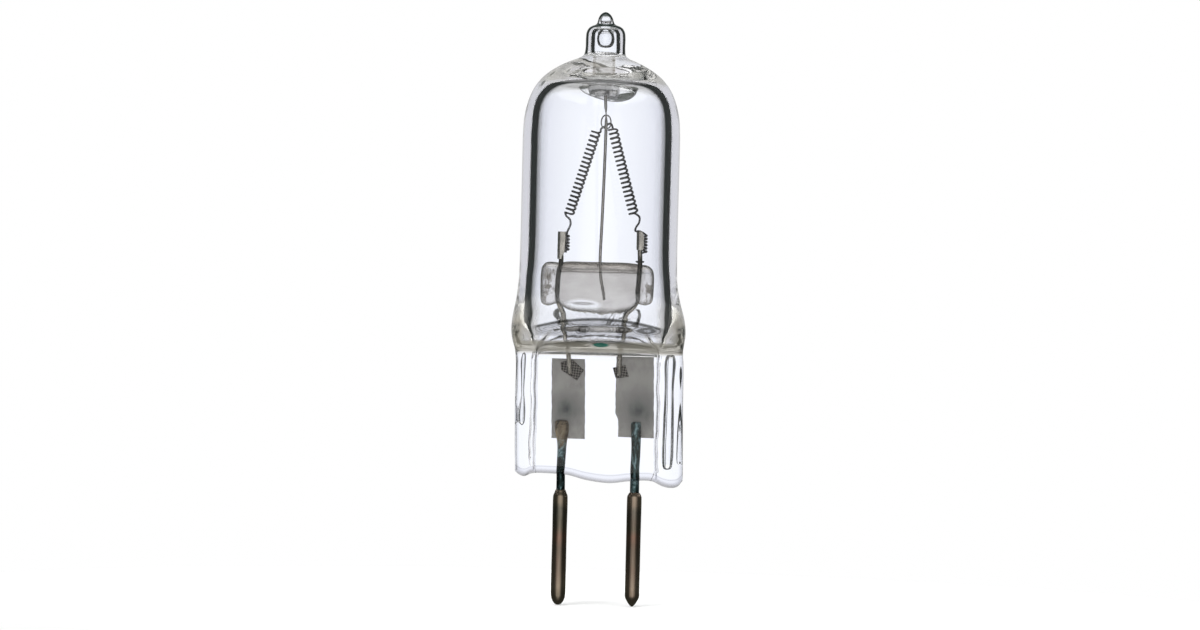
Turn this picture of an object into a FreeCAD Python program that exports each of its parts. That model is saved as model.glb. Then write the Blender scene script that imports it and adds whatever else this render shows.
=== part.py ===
import FreeCAD, Part
import math
import os
from FreeCAD import Vector

# Frame: millimetres. The origin is midway between the two pins where they become thick, +Z runs
# up the bulb to the exhaust tip, X runs along the line of the pins and the front faces -Y.

# Contact pins and outer leads
PIN_SPACING = 6.35
PIN_R = 0.625
PIN_FULL_END = -9.0
PIN_TIP = -9.84
LEFT_PIN_TOP = 0.05
LEFT_PIN_CONE = 0.42
RIGHT_PIN_TOP = -0.05
RIGHT_PIN_CONE = 0.30
OUTER_LEAD_R = 0.40
SOCKET_DEPTH = 4.0
OUTER_LEAD_TOP = 6.0

# Glass tube and dome; the outlines are shares of the radius: (across, height over the centre)
TUBE_R = 6.75
WALL = 0.80
BORE_R = TUBE_R - WALL
TUBE_X = -0.40
TUBE_START = 18.4
DOME_Z = 30.85
OUTER_DOME = [(1, 0.067), (0.963, 0.304), (0.886, 0.511), (0.748, 0.681), (0.533, 0.837), (0.237, 0.963), (0, 0.978)]
INNER_DOME = [(1, 0.059), (0.958, 0.328), (0.849, 0.555), (0.605, 0.689), (0, 0.748)]
DOME_TOP = DOME_Z + OUTER_DOME[-1][1] * TUBE_R
DOME_ROOF = DOME_Z + INNER_DOME[-1][1] * BORE_R

# Exhaust nub, and the boss and drip of glass that hang under the dome
NUB_X = -0.24
NUB_R = 1.70
NUB_BORE_R = 1.08
NUB_H = 3.67
NUB_SHOULDER = 1.85
TIP_Z = DOME_TOP + NUB_H
BOSS_X = -0.33
BOSS_R = 1.24
BOSS_H = 1.31
BOSS_BOTTOM = DOME_ROOF - BOSS_H
DRIP_X = -0.05
DRIP_R = 2.45
DRIP_H = 1.55
DRIP_BOTTOM = DOME_ROOF - DRIP_H

# Flat pinch
PINCH_HALF_W = 7.21
PINCH_HALF_D = 2.40
WEB_HALF_D = 1.40
PINCH_TOP = 11.6
PINCH_FOOT = 0.85
PINCH_X = -0.04
LEFT_FLANGE = 1.75
RIGHT_FLANGE = 2.17
LEFT_STEP = PINCH_X - PINCH_HALF_W + LEFT_FLANGE
RIGHT_STEP = PINCH_X + PINCH_HALF_W - RIGHT_FLANGE
RECESS_TOP = 15.3
BULGE = 0.32
CAVITY_FLOOR = 12.75
LEFT_VOID_R = 0.15
RIGHT_VOID_R = 0.38

# Foils, tabs and inner leads
FOIL_FRONT = 0.34
FOIL_T = 0.04
TAB_T = 0.06
INNER_LEAD_R = 0.20
WELD_SINK = 0.05
LEFT_FOIL_W = 2.86
LEFT_FOIL_X = -PIN_SPACING / 2 + 0.465
LEFT_FOIL_BOTTOM = 4.46
LEFT_FOIL_TOP = 11.38
RIGHT_FOIL_W = 3.22
RIGHT_FOIL_X = PIN_SPACING / 2 - 0.135
RIGHT_FOIL_BOTTOM = 4.66
RIGHT_FOIL_TOP = 11.78
LEAD_Y = -0.90

# Bead, support wire and clamps
BEAD_LEFT_GAP = 1.15
BEAD_RIGHT_GAP = 1.19
BEAD_HALF_D = 1.40
BEAD_BOTTOM = 14.86
BEAD_TOP = 19.66
BEAD_CORNER = 0.7
BEAD_BEVEL = 0.4
SUPPORT_R = 0.13
EYE_X = -0.03
EYE_Z = BOSS_BOTTOM - 2.39
EYE_R = 0.52
EYE_WIRE_R = 0.06
EYE_TURN = 33.0
CLAMP_T = 0.10
LEFT_CLAMP_X = -3.60
RIGHT_CLAMP_X = 3.09
CLAMP_TOP = 22.15

# Filament
STRAND_R = 0.10
COIL_R = 0.355
LEG_TURNS = 18.5
GRIP_TURNS = 4.5
GRIP_R = 0.13
STEPS = 6


def lean(z):
    """Sideways place of the glass at height z: the tube stands slightly left of the pinch."""
    if z < PINCH_TOP:
        return PINCH_X
    if z < TUBE_START:
        return PINCH_X + (TUBE_X - PINCH_X) * (z - PINCH_TOP) / (TUBE_START - PINCH_TOP)
    return TUBE_X


def oval(centre, side, back, half_w, half_d, power=2, arcs=8):
    """Closed outline of equal arcs that goes from an ellipse (power 2) to a rounded bar (power 6)."""
    points = []
    for i in range(2 * arcs):
        c = math.cos(math.pi * i / arcs)
        s = math.sin(math.pi * i / arcs)
        q = (abs(c) ** power + abs(s) ** power) ** (-1.0 / power)
        points.append(centre + side * (half_w * c * q) + back * (half_d * s * q))
    points.append(points[0])
    return Part.Wire([Part.Arc(*points[i:i + 3]).toShape() for i in range(0, 2 * arcs, 2)])


def section(z, half_w, half_d, power):
    """Outline of the glass at height z."""
    return oval(Vector(lean(z), 0, z), Vector(1, 0, 0), Vector(0, 1, 0), half_w, half_d, power)


def loft(levels):
    return Part.makeLoft([section(*level) for level in levels], True, True)


def outline(runs):
    """Edges from runs of points: "lines" join them all, and "arc" is a curve through three."""
    edges = []
    for kind, points in runs:
        if kind == "arc":
            edges.append(Part.Arc(*points).toShape())
        else:
            for a, b in zip(points, points[1:]):
                edges.append(Part.LineSegment(a, b).toShape())
    return edges


def turned(runs, x):
    """A solid turned about the vertical line at x from runs of (radius, height) points."""
    placed = [(kind, [Vector(r, 0, z) for r, z in points]) for kind, points in runs]
    solid = Part.Face(Part.Wire(outline(placed))).revolve(Vector(0, 0, 0), Vector(0, 0, 1), 360)
    solid.translate(Vector(x, 0, 0))
    return solid


def blunt_rod(x, radius, bottom, top):
    """An upright round bar that narrows to a blunt foot."""
    return turned(
        [("lines", [(0, bottom), (0.6 * radius, bottom), (radius, bottom + 0.6 * radius), (radius, top), (0, top),
                    (0, bottom)])],
        x,
    )


def box(x0, x1, y0, y1, z0, z1):
    return Part.makeBox(x1 - x0, y1 - y0, z1 - z0, Vector(x0, y0, z0))


def near(x, z, offsets):
    """Points by their distance across and up from the place (x, z), each with its own depth y."""
    return [(x + across, y, z + up) for across, y, up in offsets]


def mix(a, b, share):
    return a + (b - a) * share


def plate(x, z, corners, y0, y1):
    """A flat plate between two depths, with corners by their distance across and up from (x, z)."""
    points = [Vector(x + across, y0, z + up) for across, up in corners]
    face = Part.Face(Part.makePolygon(points + points[:1]))
    return face.extrude(Vector(0, y1 - y0, 0))


def rod(points, radius):
    """A round wire of straight runs, with its rings set square to the path."""
    path = [Vector(*p) for p in points]
    side = Vector(1, 0, 0)
    rings = []
    for i, p in enumerate(path):
        tangent = path[min(i + 1, len(path) - 1)] - path[max(i - 1, 0)]
        tangent.normalize()
        side = side - tangent * side.dot(tangent)
        side.normalize()
        rings.append(oval(p, side, tangent.cross(side), radius, radius))
    return Part.makeLoft(rings, True, True)


# Glass envelope

def dome(profile, radius):
    return [(across * radius, DOME_Z + up * radius) for across, up in profile]


def outer_body():
    widest = PINCH_HALF_W + BULGE
    shoulder = [
        (PINCH_TOP, PINCH_HALF_W, PINCH_HALF_D, 6),
        (mix(PINCH_TOP, TUBE_START, 0.294), widest, 0.548 * TUBE_R, 3.8),
        (mix(PINCH_TOP, TUBE_START, 0.500), mix(widest, TUBE_R, 0.23), 0.778 * TUBE_R, 2.8),
        (mix(PINCH_TOP, TUBE_START, 0.735), mix(widest, TUBE_R, 0.77), 0.951 * TUBE_R, 2.15),
        (TUBE_START, TUBE_R, TUBE_R, 2),
    ]
    upper = turned(
        [("lines", [(0, DOME_TOP), (0, TUBE_START), (TUBE_R, TUBE_START)] + dome(OUTER_DOME, TUBE_R))],
        TUBE_X,
    )
    root = DOME_TOP - 1.05
    nub = turned(
        [("lines", [(0, TIP_Z), (0, root), (NUB_R, root), (NUB_R, DOME_TOP + NUB_SHOULDER),
                    (0.82 * NUB_R, DOME_TOP + NUB_SHOULDER + 0.55), (0.35 * NUB_R, DOME_TOP + NUB_SHOULDER + 0.95),
                    (0, TIP_Z)])],
        NUB_X,
    )
    foot = Part.Face(section(PINCH_TOP, PINCH_HALF_W, PINCH_HALF_D, 6))
    pinch = foot.extrude(Vector(0, 0, PINCH_FOOT - 1.35 - PINCH_TOP))
    return upper.fuse(nub).fuse([loft(shoulder), pinch], 0.001)


def pressed_recess(sign):
    """The scoop that leaves a thin web between the two side flanges."""
    far = sign * 2 * PINCH_HALF_W
    below = PINCH_FOOT - 2.35
    low = Vector(0, sign * WEB_HALF_D, PINCH_TOP + 0.5)
    high = Vector(0, sign * 0.83 * TUBE_R, RECESS_TOP)
    runs = [
        ("arc", [low, Vector(0, sign * (WEB_HALF_D + 1.3), PINCH_TOP + 1.55), high]),
        ("lines", [high, Vector(0, far, RECESS_TOP), Vector(0, far, below), Vector(0, sign * WEB_HALF_D, below), low]),
    ]
    solid = Part.Face(Part.Wire(outline(runs))).extrude(Vector(RIGHT_STEP - LEFT_STEP, 0, 0))
    solid.translate(Vector(LEFT_STEP, 0, 0))
    return solid


def below_pinch():
    """Everything under the wavy lower edge of the pinch, as (share of the half width, height over the foot)."""
    edge = [
        (-1.08, 1.65), (-0.98, 0.77), (-0.87, 0.30),
        (-0.76, 0.53), (-0.37, 0.45),
        (-0.13, 0.07), (0.16, -0.13),
        (0.41, 0.0), (0.71, 0.0),
        (0.81, -0.37), (0.92, -0.35),
        (0.99, 0.0), (1.09, 1.15),
    ]
    front = -PINCH_HALF_W
    below = PINCH_FOOT - 3
    points = [Vector(PINCH_X + share * PINCH_HALF_W, front, PINCH_FOOT + up) for share, up in edge]
    runs = [("arc", points[i:i + 3]) for i in range(0, 12, 2)]
    runs.append(("lines", [points[-1], Vector(points[-1].x, front, below), Vector(points[0].x, front, below),
                           points[0]]))
    return Part.Face(Part.Wire(outline(runs))).extrude(Vector(0, -2 * front, 0))


def sealed_space():
    """The gas space, less the boss and the drip of glass under the dome."""
    widest = PINCH_HALF_W - 0.93
    levels = [
        (CAVITY_FLOOR, PINCH_HALF_W - 1.96, 0.25, 2.6),
        (mix(CAVITY_FLOOR, TUBE_START, 0.239), widest, 0.479 * BORE_R, 2.8),
        (mix(CAVITY_FLOOR, TUBE_START, 0.522), mix(widest, BORE_R, 0.33), 0.832 * BORE_R, 2.4),
        (TUBE_START, BORE_R, BORE_R, 2),
    ]
    upper = turned(
        [("lines", [(0, DOME_ROOF), (0, TUBE_START), (BORE_R, TUBE_START)] + dome(INNER_DOME, BORE_R))],
        TUBE_X,
    )
    root = DOME_ROOF + 0.7
    boss = turned(
        [("lines", [(0, root), (0, BOSS_BOTTOM), (BOSS_R - 0.3, BOSS_BOTTOM), (BOSS_R, BOSS_BOTTOM + 0.3),
                    (BOSS_R, root), (0, root)])],
        BOSS_X,
    )
    drip = turned(
        [("lines", [(0, DRIP_BOTTOM), (0.53 * DRIP_R, DRIP_BOTTOM + 0.2), (DRIP_R, DRIP_BOTTOM + 0.9), (DRIP_R, root),
                    (0, root), (0, DRIP_BOTTOM)])],
        DRIP_X,
    )
    return upper.cut([boss, drip]).fuse([loft(levels)], 0.001)


def nub_bore():
    """The closed bore of the exhaust nub round its hanging drop of glass."""
    floor = DOME_TOP - 0.45
    return turned(
        [("lines", [(0, floor), (NUB_BORE_R, floor), (NUB_BORE_R, DOME_TOP + NUB_SHOULDER - 0.2),
                    (0.48 * NUB_BORE_R, DOME_TOP + NUB_SHOULDER + 0.2), (0.59 * NUB_BORE_R, DOME_TOP + 1.4),
                    (0, DOME_TOP + 0.75), (0, floor)])],
        NUB_X,
    )


# Current path in the pinch

def foil(x, width, bottom, top):
    return box(x - width / 2, x + width / 2, FOIL_FRONT, FOIL_FRONT + FOIL_T, bottom, top)


def weld_tab(x, z, corners):
    return plate(x, z, corners, FOIL_FRONT - TAB_T, FOIL_FRONT)


def outer_lead(x, top_half_w, top_half_d):
    """A thick lead whose upper end is pressed flat against the foil."""
    top = OUTER_LEAD_TOP
    rod_part = Part.makeCylinder(OUTER_LEAD_R, SOCKET_DEPTH + OUTER_LEAD_TOP, Vector(x, 0, -SOCKET_DEPTH))
    if top_half_w > OUTER_LEAD_R:
        centre = Vector(x, OUTER_LEAD_R - top_half_d, 0)
        rings = []
        for z, half_w in ((top - 1.8, OUTER_LEAD_R), (top - 0.9, top_half_w), (top, top_half_w)):
            half_d = min(half_w, top_half_d) if half_w == OUTER_LEAD_R else top_half_d
            rings.append(oval(centre + Vector(0, 0, z), Vector(1, 0, 0), Vector(0, 1, 0), half_w, half_d))
        paddle = Part.makeLoft(rings, True, True)
        slot = box(x - 1, x + 1, -1, centre.y - top_half_d + 0.02, top - 1.1, top + 1)
        rod_part = rod_part.cut(slot).fuse(paddle)
    return rod_part.cut(box(x - 2, x + 2, FOIL_FRONT, 2, top - 1.7, top + 1))


def contact_pin(x, top, cone):
    return turned(
        [("lines", [(0, PIN_TIP), (0, top), (OUTER_LEAD_R + 0.02, top), (PIN_R, top - cone), (PIN_R, PIN_FULL_END),
                    (0.67 * PIN_R, mix(PIN_FULL_END, PIN_TIP, 0.69)), (0, PIN_TIP)])],
        x,
    )


LEFT_TAB = [(-0.69, -0.34), (0.33, -0.15), (1.27, -1.03), (0.72, -1.95), (-0.62, -1.07)]
RIGHT_TAB = [(-1.98, -1.15), (-0.93, -0.91), (-0.61, -1.92), (-1.71, -2.09)]
WELD_Y = FOIL_FRONT - TAB_T + WELD_SINK - INNER_LEAD_R
LEFT_LEAD = (
    near(LEFT_FOIL_X, LEFT_FOIL_TOP, [(0.11, WELD_Y, -1.43), (-0.07, WELD_Y, 0.52)])
    + near(LEFT_CLAMP_X, CAVITY_FLOOR, [(0.74, WELD_Y, 0)])
    + near(LEFT_CLAMP_X, BEAD_BOTTOM, [(0.36, -0.35, -0.66), (0.02, -0.75, 0.19), (-0.19, LEAD_Y, 1.24)])
    + near(LEFT_CLAMP_X, BEAD_TOP, [(-0.12, LEAD_Y, -1.26), (0, LEAD_Y, 0.14)])
    + near(LEFT_CLAMP_X, CLAMP_TOP, [(0, LEAD_Y, 0)])
)
RIGHT_LEAD = (
    near(RIGHT_FOIL_X, RIGHT_FOIL_TOP, [(-1.44, WELD_Y, -1.83)])
    + near(RIGHT_CLAMP_X, CAVITY_FLOOR, [(-1.39, WELD_Y, 0)])
    + near(RIGHT_CLAMP_X, BEAD_BOTTOM, [(-1.04, -0.40, -0.56), (-0.47, -0.78, 0.29), (-0.12, LEAD_Y, 1.24)])
    + near(RIGHT_CLAMP_X, BEAD_TOP, [(-0.09, LEAD_Y, -1.26), (0, LEAD_Y, 0.44)])
    + near(RIGHT_CLAMP_X, CLAMP_TOP, [(0, LEAD_Y, 0)])
)


# Parts inside the gas space

def bridge_bead():
    x0 = TUBE_X - BORE_R + BEAD_LEFT_GAP
    x1 = TUBE_X + BORE_R - BEAD_RIGHT_GAP
    block = box(x0, x1, -BEAD_HALF_D, BEAD_HALF_D, BEAD_BOTTOM, BEAD_TOP)
    corners = [e for e in block.Edges if abs(e.tangentAt(e.FirstParameter).y) > 0.9]
    block = block.makeFillet(BEAD_CORNER, corners)
    rims = [e for e in block.Edges if e.BoundBox.YLength < 0.01 and e.BoundBox.XLength > 3]
    return block.makeChamfer(BEAD_BEVEL, rims)


def support_wire():
    """A straight wire from the boss to the bead, with a thin eye that holds the filament."""
    wire = rod(
        near(BOSS_X, BOSS_BOTTOM, [(0.03, 0, 0.91), (0.07, 0, -0.09)])
        + near(EYE_X, EYE_Z, [(-0.03, 0, 0.7), (0.01, 0, -0.4)])
        + near(EYE_X, BEAD_TOP, [(-0.26, 0, 0.24), (-0.09, 0, -1.66)])
        + near(EYE_X, BEAD_BOTTOM, [(0.24, 0, 1.24)]),
        SUPPORT_R,
    )
    turn = math.radians(EYE_TURN)
    side = Vector(math.cos(turn), math.sin(turn), 0)
    eye = []
    for a in (EYE_R - EYE_WIRE_R, EYE_R + EYE_WIRE_R):
        ring = []
        for i in range(17):
            angle = 2 * math.pi * i / 16
            ring.append(Vector(EYE_X, 0, EYE_Z) + side * (a * math.cos(angle)) + Vector(0, 0, a * math.sin(angle)))
        eye.append(Part.Face(Part.makePolygon(ring)))
    across = side.cross(Vector(0, 0, 1)) * (2 * EYE_WIRE_R)
    hoop = eye[1].cut(eye[0]).extrude(across)
    hoop.translate(across * -0.5)
    return wire.fuse(hoop)


def clamp(lead_x, corners):
    """A strip folded round the lead, open to the right where it grips the filament."""
    inner = INNER_LEAD_R
    outer = INNER_LEAD_R + CLAMP_T
    low = CLAMP_TOP - 2.55
    high = CLAMP_TOP + 0.45
    shell = Part.makeCylinder(outer, high - low, Vector(lead_x, LEAD_Y, low))
    shell = shell.fuse(box(lead_x, lead_x + 1.0, LEAD_Y - outer, LEAD_Y + outer, low, high))
    hollow = Part.makeCylinder(inner, high - low, Vector(lead_x, LEAD_Y, low))
    hollow = hollow.fuse(box(lead_x, lead_x + 1.2, LEAD_Y - inner, LEAD_Y + inner, low, high))
    return shell.cut(hollow).common(plate(lead_x, CLAMP_TOP, corners, LEAD_Y - 1, LEAD_Y + 1))


def coil(start, end, across, deep, turns, phase):
    """Points of a coil from start to end whose loops are across wide and deep deep (radii)."""
    a = Vector(*start)
    axis = Vector(*end) - a
    side = Vector(axis.z, 0, -axis.x).normalize()
    back = Vector(0, 1, 0)
    count = int(round(turns * STEPS))
    points = []
    for i in range(count + 1):
        angle = 2 * math.pi * (phase + turns * i / count)
        p = a + axis * (i / count) + side * (across * math.cos(angle)) + back * (deep * math.sin(angle))
        points.append((p.x, p.y, p.z))
    return points


def strand(points):
    """One three-sided strand that follows the points without twisting."""
    path = [Vector(*p) for p in points]
    normal = Vector(0, 0, 1)
    rings = []
    for i, p in enumerate(path):
        tangent = path[min(i + 1, len(path) - 1)] - path[max(i - 1, 0)]
        tangent.normalize()
        normal = normal - tangent * normal.dot(tangent)
        normal.normalize()
        a = normal * STRAND_R
        b = tangent.cross(normal) * STRAND_R
        rings.append(Part.makePolygon([p + a, p - a * 0.5 + b * 0.87, p - a * 0.5 - b * 0.87, p + a]))
    return Part.makeLoft(rings, True, True)


def filament():
    """Two coiled legs that hang from the eye, each with a tail that ends in a small gripped coil."""
    side = INNER_LEAD_R + STRAND_R + GRIP_R + 0.01
    left_x = LEFT_CLAMP_X + side
    right_x = RIGHT_CLAMP_X + side
    left_foot = (LEFT_CLAMP_X + 0.60, LEAD_Y, CLAMP_TOP + 1.60)
    left_head = (EYE_X - 0.79, 0.05, EYE_Z - 0.70)
    right_head = (EYE_X + 0.55, -0.05, EYE_Z - 0.45)
    right_foot = (RIGHT_CLAMP_X - 0.61, LEAD_Y, CLAMP_TOP + 1.70)
    left_leg = coil(left_foot, left_head, COIL_R, COIL_R, LEG_TURNS, 0.5)
    right_leg = coil(right_head, right_foot, COIL_R, COIL_R, LEG_TURNS, 0.75)
    left_grip = coil(
        (left_x, LEAD_Y, CLAMP_TOP - 1.60), (left_x, LEAD_Y, CLAMP_TOP - 0.15), GRIP_R, GRIP_R * 0.75, GRIP_TURNS, 0.25
    )
    right_grip = coil(
        (right_x, LEAD_Y, CLAMP_TOP - 0.20), (right_x, LEAD_Y, CLAMP_TOP - 1.55), GRIP_R, GRIP_R * 0.75, GRIP_TURNS, 0.5
    )
    left_tail = near(
        LEFT_CLAMP_X, CLAMP_TOP, [(0.55, -0.88, 0.20), (0.65, -0.92, 0.60), (0.62, -1.0, 1.05), (0.30, -1.02, 1.45)]
    )
    bridge = near(
        EYE_X, EYE_Z,
        [(-0.41, 0.22, -0.46), (-0.11, 0.33, -0.24), (0.05, 0.30, -0.15), (0.21, 0.14, -0.10), (0.47, -0.16, -0.20)],
    )
    right_tail = near(
        RIGHT_CLAMP_X, CLAMP_TOP,
        [(-0.34, -0.80, 1.05), (-0.45, -0.85, 0.60), (-0.29, -0.92, 0.35), (0.11, -0.90, 0.29), (side, -0.80, 0.15)],
    )
    return strand(left_grip + left_tail + left_leg + bridge + right_leg + right_tail + right_grip)


half = PIN_SPACING / 2
left_foil = foil(LEFT_FOIL_X, LEFT_FOIL_W, LEFT_FOIL_BOTTOM, LEFT_FOIL_TOP)
right_foil = foil(RIGHT_FOIL_X, RIGHT_FOIL_W, RIGHT_FOIL_BOTTOM, RIGHT_FOIL_TOP)
left_tab = weld_tab(LEFT_FOIL_X, LEFT_FOIL_TOP, LEFT_TAB)
right_tab = weld_tab(RIGHT_FOIL_X, RIGHT_FOIL_TOP, RIGHT_TAB)
left_outer = outer_lead(-half, 1.45 * OUTER_LEAD_R, 0.75 * OUTER_LEAD_R)
right_outer = outer_lead(half, OUTER_LEAD_R, OUTER_LEAD_R)
left_inner = rod(LEFT_LEAD, INNER_LEAD_R).cut(left_tab)
right_inner = rod(RIGHT_LEAD, INNER_LEAD_R).cut(right_tab)
left_pin = contact_pin(-half, LEFT_PIN_TOP, LEFT_PIN_CONE).cut(left_outer)
right_pin = contact_pin(half, RIGHT_PIN_TOP, RIGHT_PIN_CONE).cut(right_outer)
support = support_wire()
bead = bridge_bead().cut([left_inner, right_inner, support])
glass = outer_body().cut([pressed_recess(-1), pressed_recess(1), below_pinch()])
glass = glass.cut([left_foil, right_foil, left_tab, right_tab, left_outer, right_outer])
glass = glass.cut([sealed_space(), nub_bore(), left_inner, right_inner, support])
left_void = blunt_rod(LEFT_STEP - LEFT_FLANGE + 0.70, LEFT_VOID_R, PINCH_TOP - 6.1, PINCH_TOP + 0.3)
right_void = blunt_rod(RIGHT_STEP + 0.75, RIGHT_VOID_R, PINCH_FOOT + 1.1, PINCH_TOP + 0.4)
glass = glass.cut([left_void, right_void])

nodes = {
    "glass_envelope": glass,
    "bridge_bead": bead,
    "support_wire": support,
    "filament": filament(),
    "inner_lead_left": left_inner,
    "inner_lead_right": right_inner,
    "filament_clamp_left": clamp(
        LEFT_CLAMP_X, [(-0.35, 0.03), (0.38, 0.05), (0.40, -1.70), (0.22, -2.30), (-0.12, -2.30), (-0.35, -1.75)]
    ),
    "filament_clamp_right": clamp(
        RIGHT_CLAMP_X, [(-0.39, -0.01), (-0.09, 0.25), (0.31, 0), (0.33, -1.39), (-0.37, -1.41)]
    ),
    "weld_tab_left": left_tab,
    "weld_tab_right": right_tab,
    "sealing_foil_left": left_foil,
    "sealing_foil_right": right_foil,
    "outer_lead_left": left_outer,
    "outer_lead_right": right_outer,
    "contact_pin_left": left_pin,
    "contact_pin_right": right_pin,
}

os.makedirs("parts", exist_ok=True)
for name, shape in nodes.items():
    if shape.ShapeType == "Compound" and len(shape.Solids) == 1:
        shape = shape.Solids[0]
    shape.exportStep("parts/" + name + ".step")
    print(name, "solids", len(shape.Solids), "valid", shape.isValid(), "volume %.3f mm3" % shape.Volume)
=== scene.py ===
# %% [markdown]
# # A halogen capsule bulb
# The real object is a small sealed capsule of quartz glass. A coiled filament hangs in it from a thin
# wire, two leads carry it, and a bar of glass holds the leads apart. Below, the glass is pressed flat
# over two thin foils, and two pins come out of it. We load the CAD model as a fixed frame and then give
# every part the fine shape and the finish that the real one has.

import math

import bmesh
import bpy
import numpy as np
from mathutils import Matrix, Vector


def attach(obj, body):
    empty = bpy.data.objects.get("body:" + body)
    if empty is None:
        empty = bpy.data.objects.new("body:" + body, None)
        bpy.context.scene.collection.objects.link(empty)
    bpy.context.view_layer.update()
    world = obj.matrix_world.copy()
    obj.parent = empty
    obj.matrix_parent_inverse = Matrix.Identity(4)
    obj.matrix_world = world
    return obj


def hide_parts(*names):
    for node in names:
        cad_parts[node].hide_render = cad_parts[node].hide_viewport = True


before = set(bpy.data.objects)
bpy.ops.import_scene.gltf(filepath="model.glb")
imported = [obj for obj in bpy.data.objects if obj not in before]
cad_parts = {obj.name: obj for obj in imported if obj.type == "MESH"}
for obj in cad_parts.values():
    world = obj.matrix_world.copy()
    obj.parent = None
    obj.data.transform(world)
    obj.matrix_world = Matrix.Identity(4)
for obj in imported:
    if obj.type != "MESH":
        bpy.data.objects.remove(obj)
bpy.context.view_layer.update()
MM = 0.001

# %% [markdown]
# ## Surfaces as functions
# Each new piece is a grid of points worked out by a formula, so its shape can be changed by changing a
# number. One direction of the grid goes round the piece and closes on itself; the other goes along it.
# A helper turns the grid into a mesh: it joins neighbours by four-sided faces and melts the points that
# fall together at a pole.

# %% From a grid of points to a closed mesh
MELT_DISTANCE = 0.0005 * MM
TINY_EDGE = 0.0002 * MM
FAR_ABOVE_EDGE = 99.0


def grid_faces(rows, columns, start=0):
    """Four-sided faces between neighbouring rows of a grid whose columns close into a ring."""
    row, column = np.meshgrid(np.arange(rows - 1), np.arange(columns), indexing="ij")
    after = (column + 1) % columns
    corners = [row * columns + column, row * columns + after,
               (row + 1) * columns + after, (row + 1) * columns + column]
    return np.stack(corners, axis=-1).reshape(-1, 4) + start


def points(x, y, z):
    """A grid of points from its three coordinates, spread out to one common shape."""
    return np.stack(np.broadcast_arrays(x, y, z), axis=-1)


def upright(table):
    """The columns of a table, each as an upright line of values."""
    return [column[:, None] for column in table.T]


def circle_angles(count):
    """Angles round a full circle, lying in one row."""
    return np.linspace(0, 2 * math.pi, count, endpoint=False)[None, :]


def place_in_scene(name, data):
    """A new object of the scene that shows the data."""
    made = bpy.data.objects.new(name, data)
    bpy.context.scene.collection.objects.link(made)
    return made


def piece(name, grids, finish, stands_for, hollows=0, rises=None):
    """One smooth object from closed grids of shape (rows, columns, 3) in millimetres. The last grids, as
    many as hollows says, are marked as walls of hollow spaces for the finish to read. Rises gives the
    rows of the first grid a height above the lower edge, kept as a second mark."""
    corners, faces, marks, start = [], [], [], 0
    for order, grid in enumerate(grids):
        rows, columns, _ = grid.shape
        corners.append(grid.reshape(-1, 3) * MM)
        faces.append(grid_faces(rows, columns, start))
        marks.append(np.full(rows * columns, float(order >= len(grids) - hollows)))
        start += rows * columns
    mesh = bpy.data.meshes.new(name)
    mesh.from_pydata(np.concatenate(corners), [], np.concatenate(faces).tolist())
    marks = np.concatenate(marks)
    mesh.attributes.new("hollow", "FLOAT", "POINT").data.foreach_set("value", marks)
    if rises is not None:
        above_edge = np.full(len(marks), FAR_ABOVE_EDGE)
        above_edge[:grids[0][..., 0].size] = np.repeat(rises, grids[0].shape[1])
        mesh.attributes.new("rise", "FLOAT", "POINT").data.foreach_set("value", above_edge)
    shape = bmesh.new()
    shape.from_mesh(mesh)
    bmesh.ops.remove_doubles(shape, verts=shape.verts, dist=MELT_DISTANCE)
    bmesh.ops.dissolve_degenerate(shape, edges=shape.edges, dist=TINY_EDGE)
    volume = shape.calc_volume(signed=True) / MM**3
    shape.to_mesh(mesh)
    shape.free()
    mesh.polygons.foreach_set("use_smooth", np.ones(len(mesh.polygons), bool))
    mesh.update()
    mesh.materials.append(finish.owner)
    made = place_in_scene(name, mesh)
    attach(made, "root")
    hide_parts(stands_for)
    mesh.calc_loop_triangles()
    print(f"{name}: {len(mesh.loop_triangles)} triangles, {volume:.2f} cubic mm")


def smooth_line(keys, count):
    """A smooth curve through the keys: between two keys it is a cubic, and its slope at a key is that of
    the line between the neighbours. Works for any number of columns."""
    p = np.asarray(keys, float)
    t = np.concatenate([[0], np.cumsum(np.linalg.norm(np.diff(p, axis=0), axis=1) ** 0.5)])
    slope = np.gradient(p, t, axis=0)
    s = np.linspace(0, t[-1], count)
    k = np.clip(np.searchsorted(t, s, "right") - 1, 0, len(t) - 2)
    gap = (t[k + 1] - t[k])[:, None]
    u = (s - t[k])[:, None] / gap
    return (p[k] * (2 * u**3 - 3 * u**2 + 1) + slope[k] * gap * (u**3 - 2 * u**2 + u)
            + p[k + 1] * (3 * u**2 - 2 * u**3) + slope[k + 1] * gap * (u**3 - u**2))


def ease(x, start, end):
    """Goes from 0 at start to 1 at end with a soft beginning and a soft end."""
    u = np.clip((np.asarray(x, float) - start) / (end - start), 0, 1)
    return u * u * (3 - 2 * u)


def soft_min(a, b, width):
    """The smaller of two values, with the corner between them rounded over the given width."""
    h = np.clip(0.5 + 0.5 * (b - a) / width, 0, 1)
    return b * (1 - h) + a * h - width * h * (1 - h)


# %% [markdown]
# ## Finishes
# A finish is a small network of nodes. The patterns read Object coordinates, which are real distances,
# taken in millimetres here, so a grain of a tenth of a millimetre is a tenth of a millimetre on every
# piece. Values that are the same all over, such as the index of refraction, sit on the shader itself.

# %% Helpers for finishes
def channels(colour):
    """The four channels of a colour, which is given as three numbers or as one number for a grey."""
    return (*colour, 1) if isinstance(colour, tuple) else (colour, colour, colour, 1)


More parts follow.
